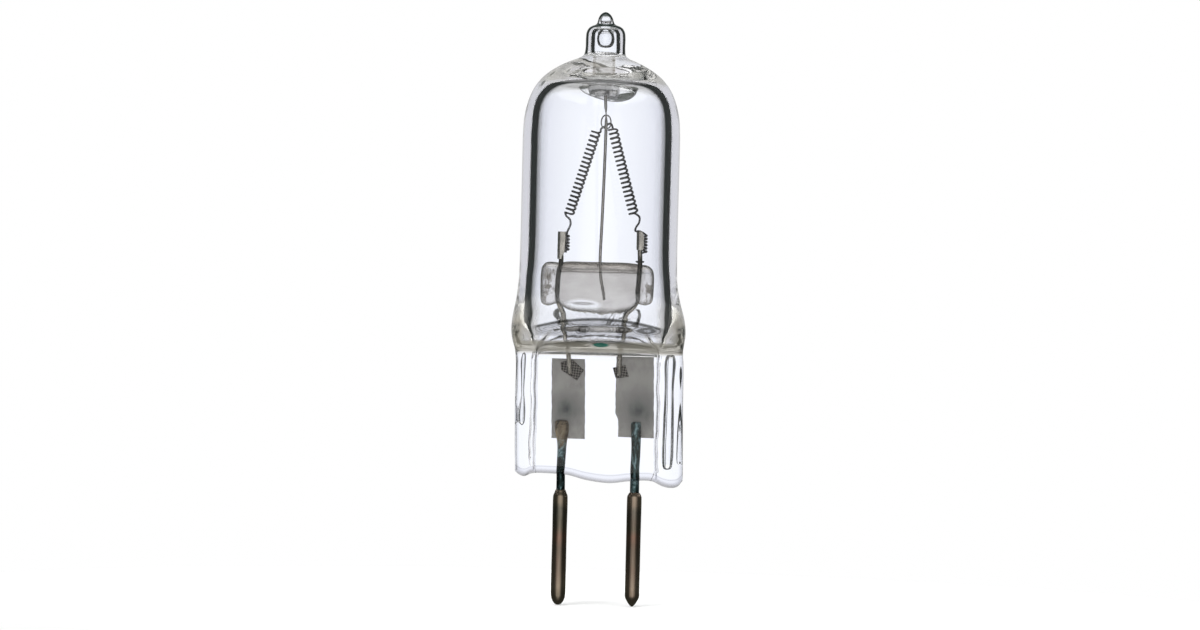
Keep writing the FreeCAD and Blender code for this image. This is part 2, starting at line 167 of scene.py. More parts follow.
class Finish:
    """The network of nodes of a material or of the world. Its values are outputs of nodes or plain
    numbers, and most helpers give back the output that holds their result."""

    def __init__(self, owner, shader="Principled BSDF", **sockets):
        owner.use_nodes = True
        self.owner = owner
        self.tree = owner.node_tree
        self.shader = self.tree.nodes[shader]
        self.paint(**sockets)

    def put(self, socket, value):
        """Links an output to this input, or sets the input to a number, a place or a colour."""
        if isinstance(value, bpy.types.NodeSocket):
            self.tree.links.new(value, socket)
        else:
            socket.default_value = channels(value) if socket.type == "RGBA" else value

    def paint(self, **sockets):
        """Puts values on the shader's inputs, which are given by name."""
        for name, value in sockets.items():
            self.put(self.shader.inputs[name.replace("_", " ")], value)

    def node(self, kind, *first_inputs, **settings):
        """A new node. Names in small letters are its settings, and the others are its inputs."""
        made = self.tree.nodes.new("ShaderNode" + kind)
        for name, value in settings.items():
            if name.islower():
                setattr(made, name, value)
            else:
                self.put(made.inputs[name], value)
        for socket, value in zip(made.inputs, first_inputs):
            self.put(socket, value)
        return made

    def places(self, stretch=(1, 1, 1), turn=(0, 0, 0)):
        """Object coordinates in millimetres, stretched along the axes and turned."""
        where = self.node("TexCoord").outputs["Object"]
        scale = [s / MM for s in stretch]
        return self.node("Mapping", Vector=where, Rotation=turn, Scale=scale).outputs["Vector"]

    def along(self, axis):
        """One of the coordinates in millimetres; Z is the height above the origin."""
        return self.node("SeparateXYZ", self.places()).outputs[axis]

    def noise(self, per_mm, detail=3, rough=0.5, stretch=(1, 1, 1), distortion=0):
        """Cloudy noise with this many blobs to the millimetre."""
        made = self.node("TexNoise", Vector=self.places(stretch), Scale=per_mm, Detail=detail,
                         Roughness=rough, Distortion=distortion)
        return made.outputs["Fac"]

    def ramp(self, source, *stops):
        """A colour by value: each stop is a place and a colour."""
        made = self.node("ValToRGB", source)
        elements = made.color_ramp.elements
        while len(elements) < len(stops):
            elements.new(0.5)
        for element, (place, colour) in zip(elements, stops):
            element.position = place
            element.color = channels(colour)
        return made.outputs["Color"]

    def grey(self, source, low, high, out_low=0.0, out_high=1.0):
        """A value rescaled from one range to another and kept inside it."""
        return self.node("MapRange", source, low, high, out_low, out_high).outputs["Result"]

    def band(self, source, start, full, last, end):
        """Rises from 0 at start to 1 at full, and falls from 1 at last to 0 at end."""
        return self.times(self.grey(source, start, full), self.grey(source, end, last))

    def join(self, operation, value, *others):
        """Joins the values one after the other by this operation."""
        for other in others:
            value = self.node("Math", value, other, operation=operation).outputs[0]
        return value

    def times(self, *values):
        return self.join("MULTIPLY", *values)

    def plus(self, *values):
        return self.join("ADD", *values)

    def most(self, *values):
        return self.join("MAXIMUM", *values)

    def rest(self, value):
        """What is missing to 1."""
        return self.join("SUBTRACT", 1.0, value)

    def off(self, value, middle):
        """How far the value is from the middle, on either side."""
        return self.join("ABSOLUTE", self.plus(value, -middle), 0)

    def edge(self, *stops):
        """A value by the slant of the view on the surface: 0 is straight on, 1 is along the surface."""
        return self.ramp(self.node("LayerWeight", 0.5).outputs["Facing"], *stops)

    def near(self, point, reach, stretch=(1, 1, 1)):
        """1 at the point and 0 farther off than reach, in millimetres before the stretch."""
        target = [p * k for p, k in zip(point, stretch)]
        gap = self.node("VectorMath", self.places(stretch), target, operation="DISTANCE")
        return self.grey(gap.outputs["Value"], reach, 0)

    def blend(self, share, a, b, way="MIX"):
        """Colour a with this share of colour b over it."""
        made = self.node("Mix", data_type="RGBA", blend_type=way)
        for place, value in zip((0, 6, 7), (share, a, b)):
            self.put(made.inputs[place], value)
        return made.outputs[2]

    def layers(self, colour, *coats):
        """Lays coats over a colour, each given by its share, its colour and, if need be, its way."""
        for share, *coat in coats:
            colour = self.blend(share, colour, *coat)
        return colour

    def relief(self, height, depth):
        """Turns a height pattern into small bumps this many millimetres deep."""
        bump = self.node("Bump", Strength=1.0, Distance=depth * MM, Height=height)
        self.paint(Normal=bump.outputs["Normal"])


def material(name, **sockets):
    """A finish for pieces, with the values that are the same all over."""
    return Finish(bpy.data.materials.new(name), **sockets)


# %% [markdown]
# ### Quartz glass
# The envelope is clear quartz with an index of refraction of 1.458. Where we look along a wall of the
# gas space, the bent light of a real lamp comes from far round the room and the edge looks dark. So the
# finish paints shade on the glass where a wall of a hollow is seen at that slant, on the gas side and on the
# glass side. The bent light puts more dark and warm tones into the glass, and the finish paints them as
# shade
# too: a warm brown on the fold above the pinch and on the shoulders, dark spots on the shoulders, darker
# slanted sides of the flanges, a grey foot with a darker line above it, a dark line, grey and rings on the
# floor of the gas space, and dark marks in the thick glass under the nub. The fold also has soft ripples,
# which are bumps, while the drawn tube is smooth. One small green fleck of ink sits on the fold. All
# heights below are in millimetres.

# %% Quartz: ripples, and which side of a wall the view meets
q = quartz = material("quartz_glass", Roughness=0.0, IOR=1.458)
across, level = q.along("X"), q.along("Z")
ripples = q.noise(0.55, detail=2, stretch=(1, 1, 0.5), distortion=0.6)
mottled = q.grey(q.noise(1.5, stretch=(0.7, 1, 1.4), distortion=0.6), 0.50, 0.60)
on_fold = q.times(q.grey(level, 17.0, 13.5), q.grey(level, 11.3, 12.3, 0.12, 0.8))
q.relief(q.times(ripples, q.plus(on_fold, q.grey(level, 35.6, 37.0, 0, 0.45))), 0.08)

hollow = q.node("Attribute", attribute_name="hollow").outputs["Fac"]
behind = q.node("NewGeometry").outputs["Backfacing"]
from_gas = q.times(hollow, q.rest(behind))
from_glass = q.times(hollow, behind)
first_skin = q.times(q.rest(hollow), q.rest(behind))

# %% Quartz: the dark edges of the walls, painted shade
in_nub = q.grey(level, 37.2, 37.5)
in_tube = q.most(q.grey(level, 35.0, 34.5, 0.35, 1.0), in_nub)
in_flange = q.times(q.grey(level, 12.3, 12.0), q.grey(ripples, 0.40, 0.58, 0.55, 1.0))
# side of the wall, part of the bulb, and how dark the edge is by the slant of the view
dark_edge = q.most(*(q.times(side, part, q.edge(*stops)) for side, part, *stops in [
    (from_gas, in_tube, (0.55, 0), (0.72, 0.5), (0.80, 1)),
    (from_glass, in_tube, (0.225, 0), (0.25, 1), (0.305, 1), (0.316, 0)),
    (from_glass, q.grey(level, 33.4, 31.4), (0.16, 0), (0.205, 0.12), (0.235, 0.5), (0.26, 0.5), (0.27, 0)),
    (from_glass, in_nub, (0.17, 0), (0.20, 1), (0.35, 1), (0.38, 0)),
    (from_glass, in_flange, (0.13, 0), (0.17, 0.9), (0.75, 0.9), (0.92, 0)),
    (first_skin, in_nub, (0.44, 0), (0.55, 1)),
    (first_skin, q.grey(level, 40.15, 40.5), (0.22, 0), (0.36, 1)),
]))
# painted shade: the outer skin darkens where it is seen at a slant
skin_edge = q.times(first_skin, q.edge((0.62, 0), (0.80, 0.20), (0.90, 0.35), (1.0, 0.85)))
shade_edge = q.times(from_gas, q.grey(level, 34.4, 33.0, 0.1, 1.0),
                     q.edge((0.12, 0), (0.35, 0.5), (0.55, 1)))

# %% Quartz: the pinch, the fold and the shoulders
SHOULDER_MIDDLE = -0.28
# place, reach and stretch of each spot of painted dark shade on the shoulders
SHOULDER_SHADE_SPOTS = [((-7.45, 0, 13.75), 1.05, (1, 0, 1.1)), ((6.85, 0, 13.80), 0.90, (1, 0, 1.2)),
                  ((6.90, 0, 12.60), 0.65, (1, 0, 1.3))]

# the fold and the shoulders get a warm grey painted shade, and the brown on their slanted parts is painted
# shade too; steps are the slanted sides of the flanges, darkened by painted shade, and along the foot the
# bevel gets a pale grey painted shade with a darker painted line above
sideways = q.off(across, SHOULDER_MIDDLE)
fold = q.band(level, 11.75, 11.95, 12.70, 12.95)
shoulder = q.times(q.grey(sideways, 5.9, 6.7), q.grey(level, 16.8, 14.4), q.grey(level, 11.8, 12.1))
shoulder = q.most(shoulder, fold)
# painted brown shade on the slanted parts of the fold and the shoulders
painted_fold_shade = q.times(shoulder, q.edge((0.16, 0), (0.34, 1)), first_skin, 0.60)
# dark spots of painted shade on the shoulders, mostly where they are seen at a slant
painted_shade_spots = q.grey(q.most(*(q.near(*shade_spot) for shade_spot in SHOULDER_SHADE_SPOTS)), 0.2, 0.6)
painted_shade_spots = q.times(painted_shade_spots, q.grey(mottled, 0, 1, 0.55, 1.0), q.edge((0.28, 0), (0.48, 1)))
ink = q.grey(q.near((-0.03, -2.2, 12.55), 0.28, (0.30, 0.3, 1.0)), 0.10, 0.40)
# painted shade on the slanted sides of the flanges, where they are seen at a slant
steps = q.times(first_skin, q.grey(level, 12.4, 11.6), q.edge((0.22, 0), (0.45, 0.55), (0.85, 0.75)))
rise = q.node("Attribute", attribute_name="rise").outputs["Fac"]
# painted shade on the rounded foot: pale grey on the foot and a darker line above it
bevel = q.grey(rise, 0.76, 0.70)
bevel_line = q.band(rise, 0.66, 0.74, 0.78, 0.86)

# %% Quartz: painted shade on the floor of the gas space, as it is seen through the front
PALE_RINGS = [(0.12, 0), (0.20, 0.95), (0.32, 0.4), (0.45, 0.92), (0.56, 0.3), (0.70, 0.88), (0.82, 0.3)]
DARK_RINGS = [(0.12, 0), (0.24, 0.97), (0.38, 0.7), (0.52, 1), (0.75, 1), (0.90, 0.85)]
# sideways place, half width and kind of each set of rings
FLOOR_RINGS = [(-4.54, 1.5, PALE_RINGS), (-1.5, 1.0, DARK_RINGS), (0.05, 1.15, PALE_RINGS),
               (1.7, 0.6, DARK_RINGS), (3.9, 1.6, DARK_RINGS)]
RINGS_Z = 13.85
RINGS_FLATNESS = 1.9

# the floor's rim is an arc that bends down towards the sides: a dark line of painted shade follows it, and
# grey painted shade with rings of darker painted shade lies below it
arc = q.plus(level, q.times(sideways, sideways, 0.026))
floor_line = q.band(arc, 14.52, 14.64, 14.80, 14.92)
floor_zone = q.times(q.grey(arc, 14.80, 14.65, 0, 0.6), q.grey(level, 13.15, 13.35))
floor_shade = q.times(q.most(floor_line, floor_zone), q.grey(sideways, 6.0, 5.2))
warp = q.grey(ripples, 0.3, 0.7, -0.11, 0.11)
for place, half_width, stops in FLOOR_RINGS:
    inward = q.near((place, 0, RINGS_Z), 1.0, (1 / half_width, 0, RINGS_FLATNESS))
    floor_shade = q.most(floor_shade, q.ramp(q.plus(inward, warp), *stops))
floor_shade = q.times(floor_shade, first_skin)

# %% Quartz: painted shade in the thick glass of the dome and the nub
BOSS_PLACE = (-0.33, -0.35, 0)

# all of these are painted shade in the clear glass: the streak is a dark line on the left of the dome, and a
# dark patch on its right and one at its front left join it; the column is a painted dark image of the boss
# above the gas space, the lump is a dark spot at the foot of the nub's own gas space, the collar and the tip
# are the dark lines of the nub's cap, the boss is painted a dark grey, and warm is a light brownish shade
# over the thick glass of the dome
from_middle = q.near((-0.4, 0, 30.85), 10.0, (1, 0, 1))
streak = q.times(q.band(from_middle, 0.333, 0.343, 0.362, 0.375), q.band(across, -6.3, -5.7, -4.6, -3.9),
                 q.grey(level, 33.5, 34.2))
dome_shade = q.grey(q.near((2.40, 0, 35.55), 0.75, (1, 0, 1.5)), 0.1, 0.5, 0, 0.75)
dome_shade = q.times(q.most(streak, dome_shade), q.grey(mottled, 0, 1, 0.5, 1.0))
dark_mark = q.times(q.grey(q.near((-2.2, -4.2, 35.85), 2.2, (1, 0.8, 3.6)), 0.1, 0.4), mottled)
painted_shade_spots = q.times(q.most(painted_shade_spots, dark_mark, dome_shade), first_skin, 0.85)
column = q.ramp(q.off(across, BOSS_PLACE[0]), (0, 0.65), (0.62, 0.7), (0.78, 1), (0.90, 1), (1, 0))
column = q.times(column, q.band(level, 35.35, 35.50, 37.15, 37.35), first_skin,
                 q.grey(mottled, 0, 1, 0.75, 1.0))
lump = q.times(q.near((0.25, 0, 37.1), 1.1, (1, 0, 2.2)), hollow)
lump = q.times(q.grey(lump, 0.2, 0.5), q.grey(mottled, 0, 1, 0.7, 1.0))
collar = q.times(q.band(level, 39.52, 39.64, 39.94, 40.04), q.grey(across, -0.5, 0.8, 0.30, 0.9))
tip = q.times(q.most(collar, q.times(q.grey(level, 40.58, 40.76), 0.95)), first_skin)
boss = q.grey(q.near(BOSS_PLACE, 2.0, (1, 1, 0)), 0.275, 0.325)
boss = q.times(boss, q.band(level, 33.6, 33.8, 35.2, 35.3), hollow, q.grey(ripples, 0.3, 0.6, 0.5, 1.0))
warm = q.band(level, 34.8, 35.3, 36.9, 37.3)

# %% Quartz: the colours, which are painted shade except the glass's own tint and the ink, and how much of the glass they cover
glass_tint = q.layers(
    (0.985, 0.99, 1.0), (shade_edge, (0.74, 0.74, 0.82)), (skin_edge, (0.50, 0.50, 0.56)),
    (steps, (0.42, 0.42, 0.48)), (bevel, (0.86, 0.86, 0.90), "MULTIPLY"),
    (bevel_line, (0.62, 0.62, 0.64), "MULTIPLY"), (q.times(shoulder, 0.8), (0.66, 0.62, 0.53), "MULTIPLY"),
    (painted_fold_shade, (0.60, 0.58, 0.50), "MULTIPLY"), (floor_shade, (0.03, 0.03, 0.028)), (lump, 0.10),
    (tip, (0.06, 0.075, 0.07)), (column, (0.10, 0.087, 0.068)), (painted_shade_spots, (0.03, 0.035, 0.03)),
    (warm, (0.93, 0.91, 0.86), "MULTIPLY"), (boss, (0.22, 0.215, 0.21)), (ink, (0.01, 0.17, 0.11)),
    (dark_edge, (0.012, 0.018, 0.016)),
)
covered = q.most(dark_edge, painted_shade_spots, painted_fold_shade, q.times(fold, first_skin, 0.60), q.times(ink, 0.85),
                 q.times(column, 0.45), q.times(boss, 0.55), q.times(tip, 0.75))
q.paint(Base_Color=glass_tint, Transmission_Weight=q.rest(covered))
print("nodes in the quartz finish:", len(q.tree.nodes))

# %% The glass of the bead: hazy, with a painted dark outline and bands of painted shade along its top rim, mottled lobes, and a painted highlight near its lower edge with a painted dark spot in it
f = bead_glass = material("bead_glass", IOR=1.47)
cloud = f.noise(0.35, detail=4, stretch=(1, 1, 1.6))
# painted shade: a dark outline where the bead's outside is seen at a slant
outline = f.times(f.rest(f.node("NewGeometry").outputs["Backfacing"]),
                  f.edge((0.14, 0), (0.36, 0.6), (0.58, 1)))
# painted shade in bands along the rounded top rim
rim_place = f.grey(f.plus(f.along("Z"), f.times(cloud, 0.35)), 18.5, 20.0)
rim_tint = f.ramp(rim_place, (0, 1), (0.17, (0.80, 0.79, 0.78)), (0.21, (0.13, 0.12, 0.11)),
                  (0.26, (0.13, 0.12, 0.11)), (0.31, (0.75, 0.73, 0.70)), (0.55, (0.95, 0.92, 0.88)),
                  (0.80, (0.50, 0.46, 0.42)))
lobes = f.plus(f.grey(f.along("X"), -3.5, -4.1), f.grey(f.along("X"), 3.1, 3.5))
mottles = f.times(lobes, f.grey(f.noise(1.6, stretch=(1, 1, 0.5), distortion=0.5), 0.52, 0.62))
# a painted highlight near the lower edge, with a dark spot of painted shade in it
painted_highlight = f.grey(f.near((-1.6, 0, 15.55), 2.0, (0.9, 0, 2.6)), 0.2, 0.5)
lens = f.grey(f.near((-1.7, -1.3, 15.68), 1.3, (0.8, 0.5, 5.0)), 0.2, 0.5)
bead_tint = f.layers(
    f.ramp(cloud, (0.3, (0.49, 0.465, 0.435)), (0.7, (0.72, 0.695, 0.665))), (1.0, rim_tint, "MULTIPLY"),
    (f.times(lobes, 0.6), (0.93, 0.92, 0.91)), (mottles, (0.17, 0.15, 0.12)), (painted_highlight, 0.98),
    (lens, (0.20, 0.19, 0.18)), (outline, (0.055, 0.048, 0.038)),
)
f.paint(Base_Color=bead_tint, Transmission_Weight=f.grey(outline, 0, 1, 0.94, 0.35),
        Roughness=f.grey(cloud, 0.35, 0.75, 0.03, 0.16))
f.relief(f.noise(0.8, detail=2), 0.05)

# %% [markdown]
# ### Metals
# The wires and foils are molybdenum and tungsten, which are grey and a little dark. The outer leads
# have been hot in air, so they carry a blue-black tarnish. The pins are nickel that has turned brown.

# %% Wire metals
STREAKS_PER_MM = 6.0
STREAK_STRETCH = (1, 1, 0.12)
STREAK_DEPTH = 0.006


def drawn_metal(name, dark, light, rough, stained=None):
    """Wire metal: fine marks stretched along the wire, and a slow change between two tones. It may be
    stained between two heights, given by where the staining starts, is full, is last full and ends."""
    made = material(name, Metallic=1.0)
    marks = made.noise(STREAKS_PER_MM, stretch=STREAK_STRETCH)
    tone = made.plus(made.times(marks, 0.5), made.times(made.noise(0.9), 0.5))
    colour = made.ramp(tone, (0.36, dark), (0.64, light))
    if stained:
        colour = made.blend(made.band(made.along("Z"), *stained), colour, (0.045, 0.040, 0.028))
    made.paint(Base_Color=colour, Roughness=made.grey(marks, 0.3, 0.7, rough - 0.06, rough + 0.10))
    made.relief(marks, STREAK_DEPTH)
    return made


support_metal = drawn_metal("support_metal", (0.30, 0.29, 0.28), (0.50, 0.48, 0.46), 0.28)
lead_metal = drawn_metal("lead_metal", (0.10, 0.092, 0.075), (0.36, 0.34, 0.30), 0.24,
                         stained=(15.2, 15.6, 19.9, 20.3))
clamp_metal = drawn_metal("clamp_metal", (0.30, 0.285, 0.26), (0.68, 0.65, 0.60), 0.20)
filament_metal = drawn_metal("filament_metal", (0.07, 0.068, 0.07), (0.17, 0.165, 0.17), 0.42)

# %% Foils, burnt where the outer leads were welded on, and weld tabs with a fine mesh
f = foil_metal = material("foil_metal", Metallic=0.75)
crumple = f.noise(0.9, detail=5, rough=0.6, stretch=(1, 1, 0.6))
burn = f.times(f.most(f.near((-2.75, 0.3, 7.0), 1.9), f.near((3.4, 0.3, 7.1), 2.3)),
               f.grey(crumple, 0.30, 0.60, 0.35, 1.0))
foil_tone = f.ramp(crumple, (0.3, (0.24, 0.23, 0.22)), (0.5, (0.35, 0.34, 0.32)), (0.75, (0.42, 0.41, 0.39)))
f.paint(Base_Color=f.blend(burn, foil_tone, (0.055, 0.065, 0.065)),
        Roughness=f.grey(crumple, 0.3, 0.7, 0.42, 0.62))
f.relief(crumple, 0.05)

MESH_PER_MM = 6.4
MESH_TURN = math.radians(38)
f = tab_metal = material("tab_metal", Metallic=0.9, Roughness=0.45)
mesh_places = f.places((MESH_PER_MM,) * 3, (0, MESH_TURN, 0))
weave = f.node("TexChecker", Vector=mesh_places, Scale=1.0).outputs["Fac"]
f.paint(Base_Color=f.ramp(weave, (0.2, (0.008, 0.007, 0.006)), (0.8, (0.17, 0.155, 0.14))))
f.relief(weave, 0.03)

# %% Tarnished outer leads, bronze at the worked end of the left one, and worn pins
f = outer_lead_metal = material("outer_lead_metal", Metallic=0.85)
patches = f.noise(1.1, detail=4, rough=0.6, stretch=(1, 1, 0.55), distortion=0.8)
tarnish = f.ramp(patches, (0.38, (0.006, 0.010, 0.009)), (0.48, (0.016, 0.032, 0.030)),
                 (0.54, (0.05, 0.095, 0.10)), (0.59, (0.20, 0.30, 0.32)), (0.66, (0.03, 0.04, 0.035)),
                 (0.74, (0.12, 0.09, 0.05)))
bronze = f.ramp(patches, (0.35, (0.05, 0.038, 0.026)), (0.65, (0.26, 0.19, 0.11)))
worked_end = f.times(f.grey(f.along("Z"), 3.4, 4.6, 0, 0.85), f.grey(f.along("X"), 1.0, -1.0))
f.paint(Base_Color=f.blend(worked_end, tarnish, bronze), Roughness=f.grey(patches, 0.35, 0.7, 0.22, 0.42))
f.relief(patches, 0.04)

f = pin_metal = material("pin_metal", Metallic=1.0)
wear = f.noise(0.45, detail=5, rough=0.6, stretch=(1, 1, 0.5))
scratches = f.noise(9.0, stretch=(1, 1, 0.06))
by_wear = f.ramp(wear, (0.30, (0.13, 0.12, 0.09)), (0.46, (0.26, 0.21, 0.16)), (0.56, (0.33, 0.22, 0.18)),
                 (0.70, (0.42, 0.34, 0.27)))
down = f.grey(f.plus(f.along("Z"), f.times(wear, 1.6)), 0.8, -9.0)
by_height = f.ramp(down, (0, (0.46, 0.37, 0.28)), (0.11, (0.38, 0.31, 0.23)), (0.17, (0.11, 0.12, 0.10)),
                   (0.33, (0.13, 0.12, 0.09)), (0.41, (0.30, 0.16, 0.12)), (0.52, (0.20, 0.15, 0.12)),
                   (0.70, (0.27, 0.21, 0.16)), (0.84, (0.44, 0.36, 0.27)), (0.92, (0.25, 0.21, 0.15)),
                   (1, (0.36, 0.30, 0.22)))
scratched = f.grey(scratches, 0.5, 0.75, 0, 0.4)
f.paint(Base_Color=f.layers(by_wear, (0.65, by_height), (scratched, (0.40, 0.34, 0.29))),
        Roughness=f.grey(wear, 0.3, 0.7, 0.20, 0.30))
f.relief(f.plus(scratches, wear), 0.008)
print("finishes:", [m.name for m in bpy.data.materials])

# %% [markdown]
# ## The glass envelope
# One surface covers the whole outside. Each of its rings is a rounded oblong that turns into a circle:
# the formula is that of a superellipse, where the power says how square it is. Going up, the rings
# pass from the flat pinch over the shoulder to the tube, the dome and the drawn-off nub. In the pinch
# the front and back are pushed in to a thin web between two flanges.

# %% The outside of the glass
TUBE_X, TUBE_R = -0.40, 6.75
NUB_X = -0.24
PINCH_HALF_W = 7.21
PINCH_HALF_D = 2.40
FOOT_ROUNDING = 0.75
FOOT_LINE_TOP = 4.2
FOOT_LIP = 0.06
LEFT_STEP, LEFT_SOFT = -5.93, 0.55
RIGHT_STEP, RIGHT_SOFT = 5.10, 0.28
STEP_WANDER_REACH = 0.6
FOLD_SOFT = 1.3
PRESS_TOP = 16.4
PRESS_SOFT = 0.12
FLANGE_RISE, FREE_DEPTH = 6, 8
STEP_MIDDLE_SHARE = 0.6

# the pinch and its shoulder: height, sideways place, half width, half depth, power of the superellipse
OBLONG = [
    (0.0, 0.09, 7.20, PINCH_HALF_D, 4.6), (3.0, 0.03, PINCH_HALF_W, PINCH_HALF_D, 4.6),
    (8.0, -0.06, PINCH_HALF_W, PINCH_HALF_D, 4.6), (11.0, -0.08, 7.19, PINCH_HALF_D, 4.6),
    (12.0, -0.17, PINCH_HALF_W, 2.50, 4.4), (12.8, -0.235, 7.37, 3.20, 3.8), (13.8, -0.255, 7.48, 4.80, 2.8),
    (15.0, -0.28, 7.35, 6.05, 2.3), (16.3, -0.335, 7.05, 6.56, 2.1), (17.9, -0.39, 6.81, 6.74, 2.0),
]
# the round part above it: height, sideways place, radius
ROUND = [
    (19.5, TUBE_X, TUBE_R), (28.5, TUBE_X, TUBE_R), (30.5, TUBE_X, 6.74), (31.9, TUBE_X, 6.66),
    (33.1, TUBE_X, 6.42), (34.35, TUBE_X, 5.94), (35.4, TUBE_X, 5.16), (36.25, -0.39, 4.05),
    (36.85, -0.36, 2.86), (37.15, -0.32, 2.12), (37.42, -0.28, 1.80), (37.9, -0.25, 1.71),
    (38.9, NUB_X, 1.70), (39.35, NUB_X, 1.65), (39.7, NUB_X, 1.47), (39.9, NUB_X, 1.18), (40.0, -0.25, 0.92),
    (40.12, -0.26, 0.76), (40.32, -0.27, 0.68), (40.6, -0.28, 0.60), (40.87, -0.29, 0.44),
    (41.06, -0.29, 0.20), (41.12, -0.29, 0.0),
]
# sideways place and height of the lower edge
FOOT = [(-8.0, 2.6), (-7.3, 1.75), (-6.8, 1.28), (-6.3, 1.13), (-5.7, 1.38), (-4.2, 1.42), (-2.6, 1.31),
        (-1.0, 0.92), (1.0, 0.70), (2.7, 0.90), (4.6, 0.95), (5.5, 0.55), (6.2, 0.41), (6.8, 0.52),
        (7.2, 0.95), (8.0, 2.2)]
# height and half thickness of the web
WEB = [(-1.0, 1.40), (8.0, 1.40), (10.8, 1.40), (11.5, 1.45), (12.0, 1.65), (12.5, 2.10), (13.0, 2.80),
       (13.5, 3.75), (14.0, 4.9), (14.5, 6.2), (15.0, 7.5), (15.3, 8.0)]


def ring_directions(front, side, extra=()):
    """Directions round a square: front points, then a side, and the same again turned by half a turn."""
    across = np.unique(np.concatenate([np.linspace(-1, 1, front), *extra]))
    up = np.linspace(-1, 1, side)[1:-1]
    front_row = np.stack([across, -np.ones(len(across))], axis=1)
    right_row = np.stack([np.ones(len(up)), up], axis=1)
    back_row = front_row[::-1] * (1, -1)
    left_row = right_row[::-1] * (-1, 1)
    return np.concatenate([front_row, right_row, back_row, left_row])


def oblong_rings(levels, directions):
    """Rings of a superellipse: |x/a|^p + |y/b|^p = 1, one ring for each level (z, x, a, b, p)."""
    z, middle, a, b, power = upright(levels)
    cx, cy = directions.T
    size = (np.abs(cx) ** power + np.abs(cy) ** power) ** (-1 / power)
    return points(middle + a * cx * size, b * cy * size, z)


def with_circles(oblongs, circles):
    """One table of levels from oblong ones and round ones; a circle has the power 2."""
    return oblongs + [(z, x, radius, radius, 2) for z, x, radius in circles]


def line_lookup(keys, x):
    """Height of the smooth line through the keys at x."""
    fine = smooth_line(keys, 400)
    return np.interp(x, fine[:, 0], fine[:, 1])


def press_pinch(grid):
    """Pushes the front and back in to the web, softly limited beside the two flanges. Where z is low,
    the steps of the flanges wander sideways by two slow sine waves; higher up they get softer."""
    x, y, z = np.moveaxis(grid, -1, 0)
    wander = (0.05 * np.sin(1.1 * z + 0.6) + 0.03 * np.sin(2.7 * z)) * (1 - ease(z, 11.5, 13.0))
    near_step = sum(np.exp(-((x - step) / STEP_WANDER_REACH) ** 2) for step in (LEFT_STEP, RIGHT_STEP))
    more = FOLD_SOFT * ease(z, 11.9, 13.6)
    left_soft, right_soft = LEFT_SOFT + more, RIGHT_SOFT + more
    inside = ease(x, LEFT_STEP - left_soft, LEFT_STEP + left_soft)
    inside = inside * (1 - ease(x, RIGHT_STEP - right_soft, RIGHT_STEP + right_soft))
    limit = np.minimum(line_lookup(WEB, z) + (1 - inside) * FLANGE_RISE, FREE_DEPTH)
    pressed = np.sign(y) * np.maximum(soft_min(np.abs(y), limit, PRESS_SOFT), 0)
    y = np.where(z < PRESS_TOP, pressed, y)
    return points(x + wander * near_step, y, z)


def round_foot(grid, rows):
    """Closes the lower edge: the depth shrinks as a quarter circle with a small lip above it, and the
    edge follows the FOOT line."""
    turn = np.clip(rows[:, None] / FOOT_ROUNDING, 0, 1)
    shrink = np.sqrt(np.clip(1 - (1 - turn) ** 2, 0, 1))
    shrink = shrink * (1 - FOOT_LIP * (1 - ease(rows, 0.72, 0.86)[:, None]))
    fade = 1 - ease(rows, 0, FOOT_LINE_TOP)[:, None]
    x, y, z = np.moveaxis(grid, -1, 0)
    return points(x, y * shrink, z + line_lookup(FOOT, x) * fade)


foot_rows = FOOT_ROUNDING * (1 - np.cos(np.linspace(0, math.pi / 2, 11)))[:-1]
above = smooth_line(with_circles(OBLONG, ROUND), 222)
above = above[above[:, 0] > FOOT_ROUNDING]
foot_levels = np.stack([np.interp(foot_rows, above[:, 0], above[:, k]) for k in range(5)], axis=1)
foot_levels[:, 0] = foot_rows
outside_levels = np.concatenate([foot_levels, above])
outside_levels[:, 4] = np.maximum(outside_levels[:, 4], 2)
outside_levels[:, 2:4] = np.maximum(outside_levels[:, 2:4], 0)
outside_levels[:, 3] = np.minimum(outside_levels[:, 3], TUBE_R)

# more columns where the steps of the flanges are steep
step_middles = (LEFT_STEP + STEP_MIDDLE_SHARE * LEFT_SOFT, RIGHT_STEP - STEP_MIDDLE_SHARE * RIGHT_SOFT)
step_columns = [middle / PINCH_HALF_W + np.linspace(-0.055, 0.055, 17) for middle in step_middles]
around = ring_directions(73, 46, step_columns)
outside = round_foot(press_pinch(oblong_rings(outside_levels, around)), outside_levels[:, 0])
print("outside grid:", outside.shape)

# %% [markdown]
# The inside is a second closed surface whose faces look into the gas. A drop of glass and a short boss
# hang from its ceiling. The gas space of the nub and a small bubble in its tip are closed surfaces too,
# and so are two long thin voids and a slit that were trapped in the flanges when the pinch was pressed.

# %% The hollows of the glass
CEILING = 35.18
CEILING_RISE = 0.10
ROOF_R = 3.20
GAS_FLOOR = [
    (12.72, -0.30, 4.6, 0.03, 2.2), (12.78, -0.30, 5.1, 0.35, 2.2), (13.0, -0.30, 5.42, 0.95, 2.2),
    (13.5, -0.30, 5.66, 1.95, 2.2), (14.3, -0.31, 5.84, 3.30, 2.1), (15.4, -0.33, 5.90, 4.70, 2.0),
    (16.7, -0.37, 5.87, 5.46, 2.0), (18.4, TUBE_X, 5.80, 5.70, 2), (20.0, TUBE_X, 5.73, 5.72, 2),
]
GAS_TUBE = [(29.0, 5.72), (31.2, 5.70), (32.7, 5.54), (33.7, 5.22), (34.4, 4.76), (34.85, 4.20),
            (35.08, 3.70), (CEILING, ROOF_R)]
BOSS_R, BOSS_BOTTOM, BOSS_SOFT = 1.25, 33.82, 0.10
DRIP_X, DRIP_Y = 0.10, 1.30
DRIP_R, DRIP_BOTTOM = 2.60, 33.32
DRIP_FLATNESS = 0.75
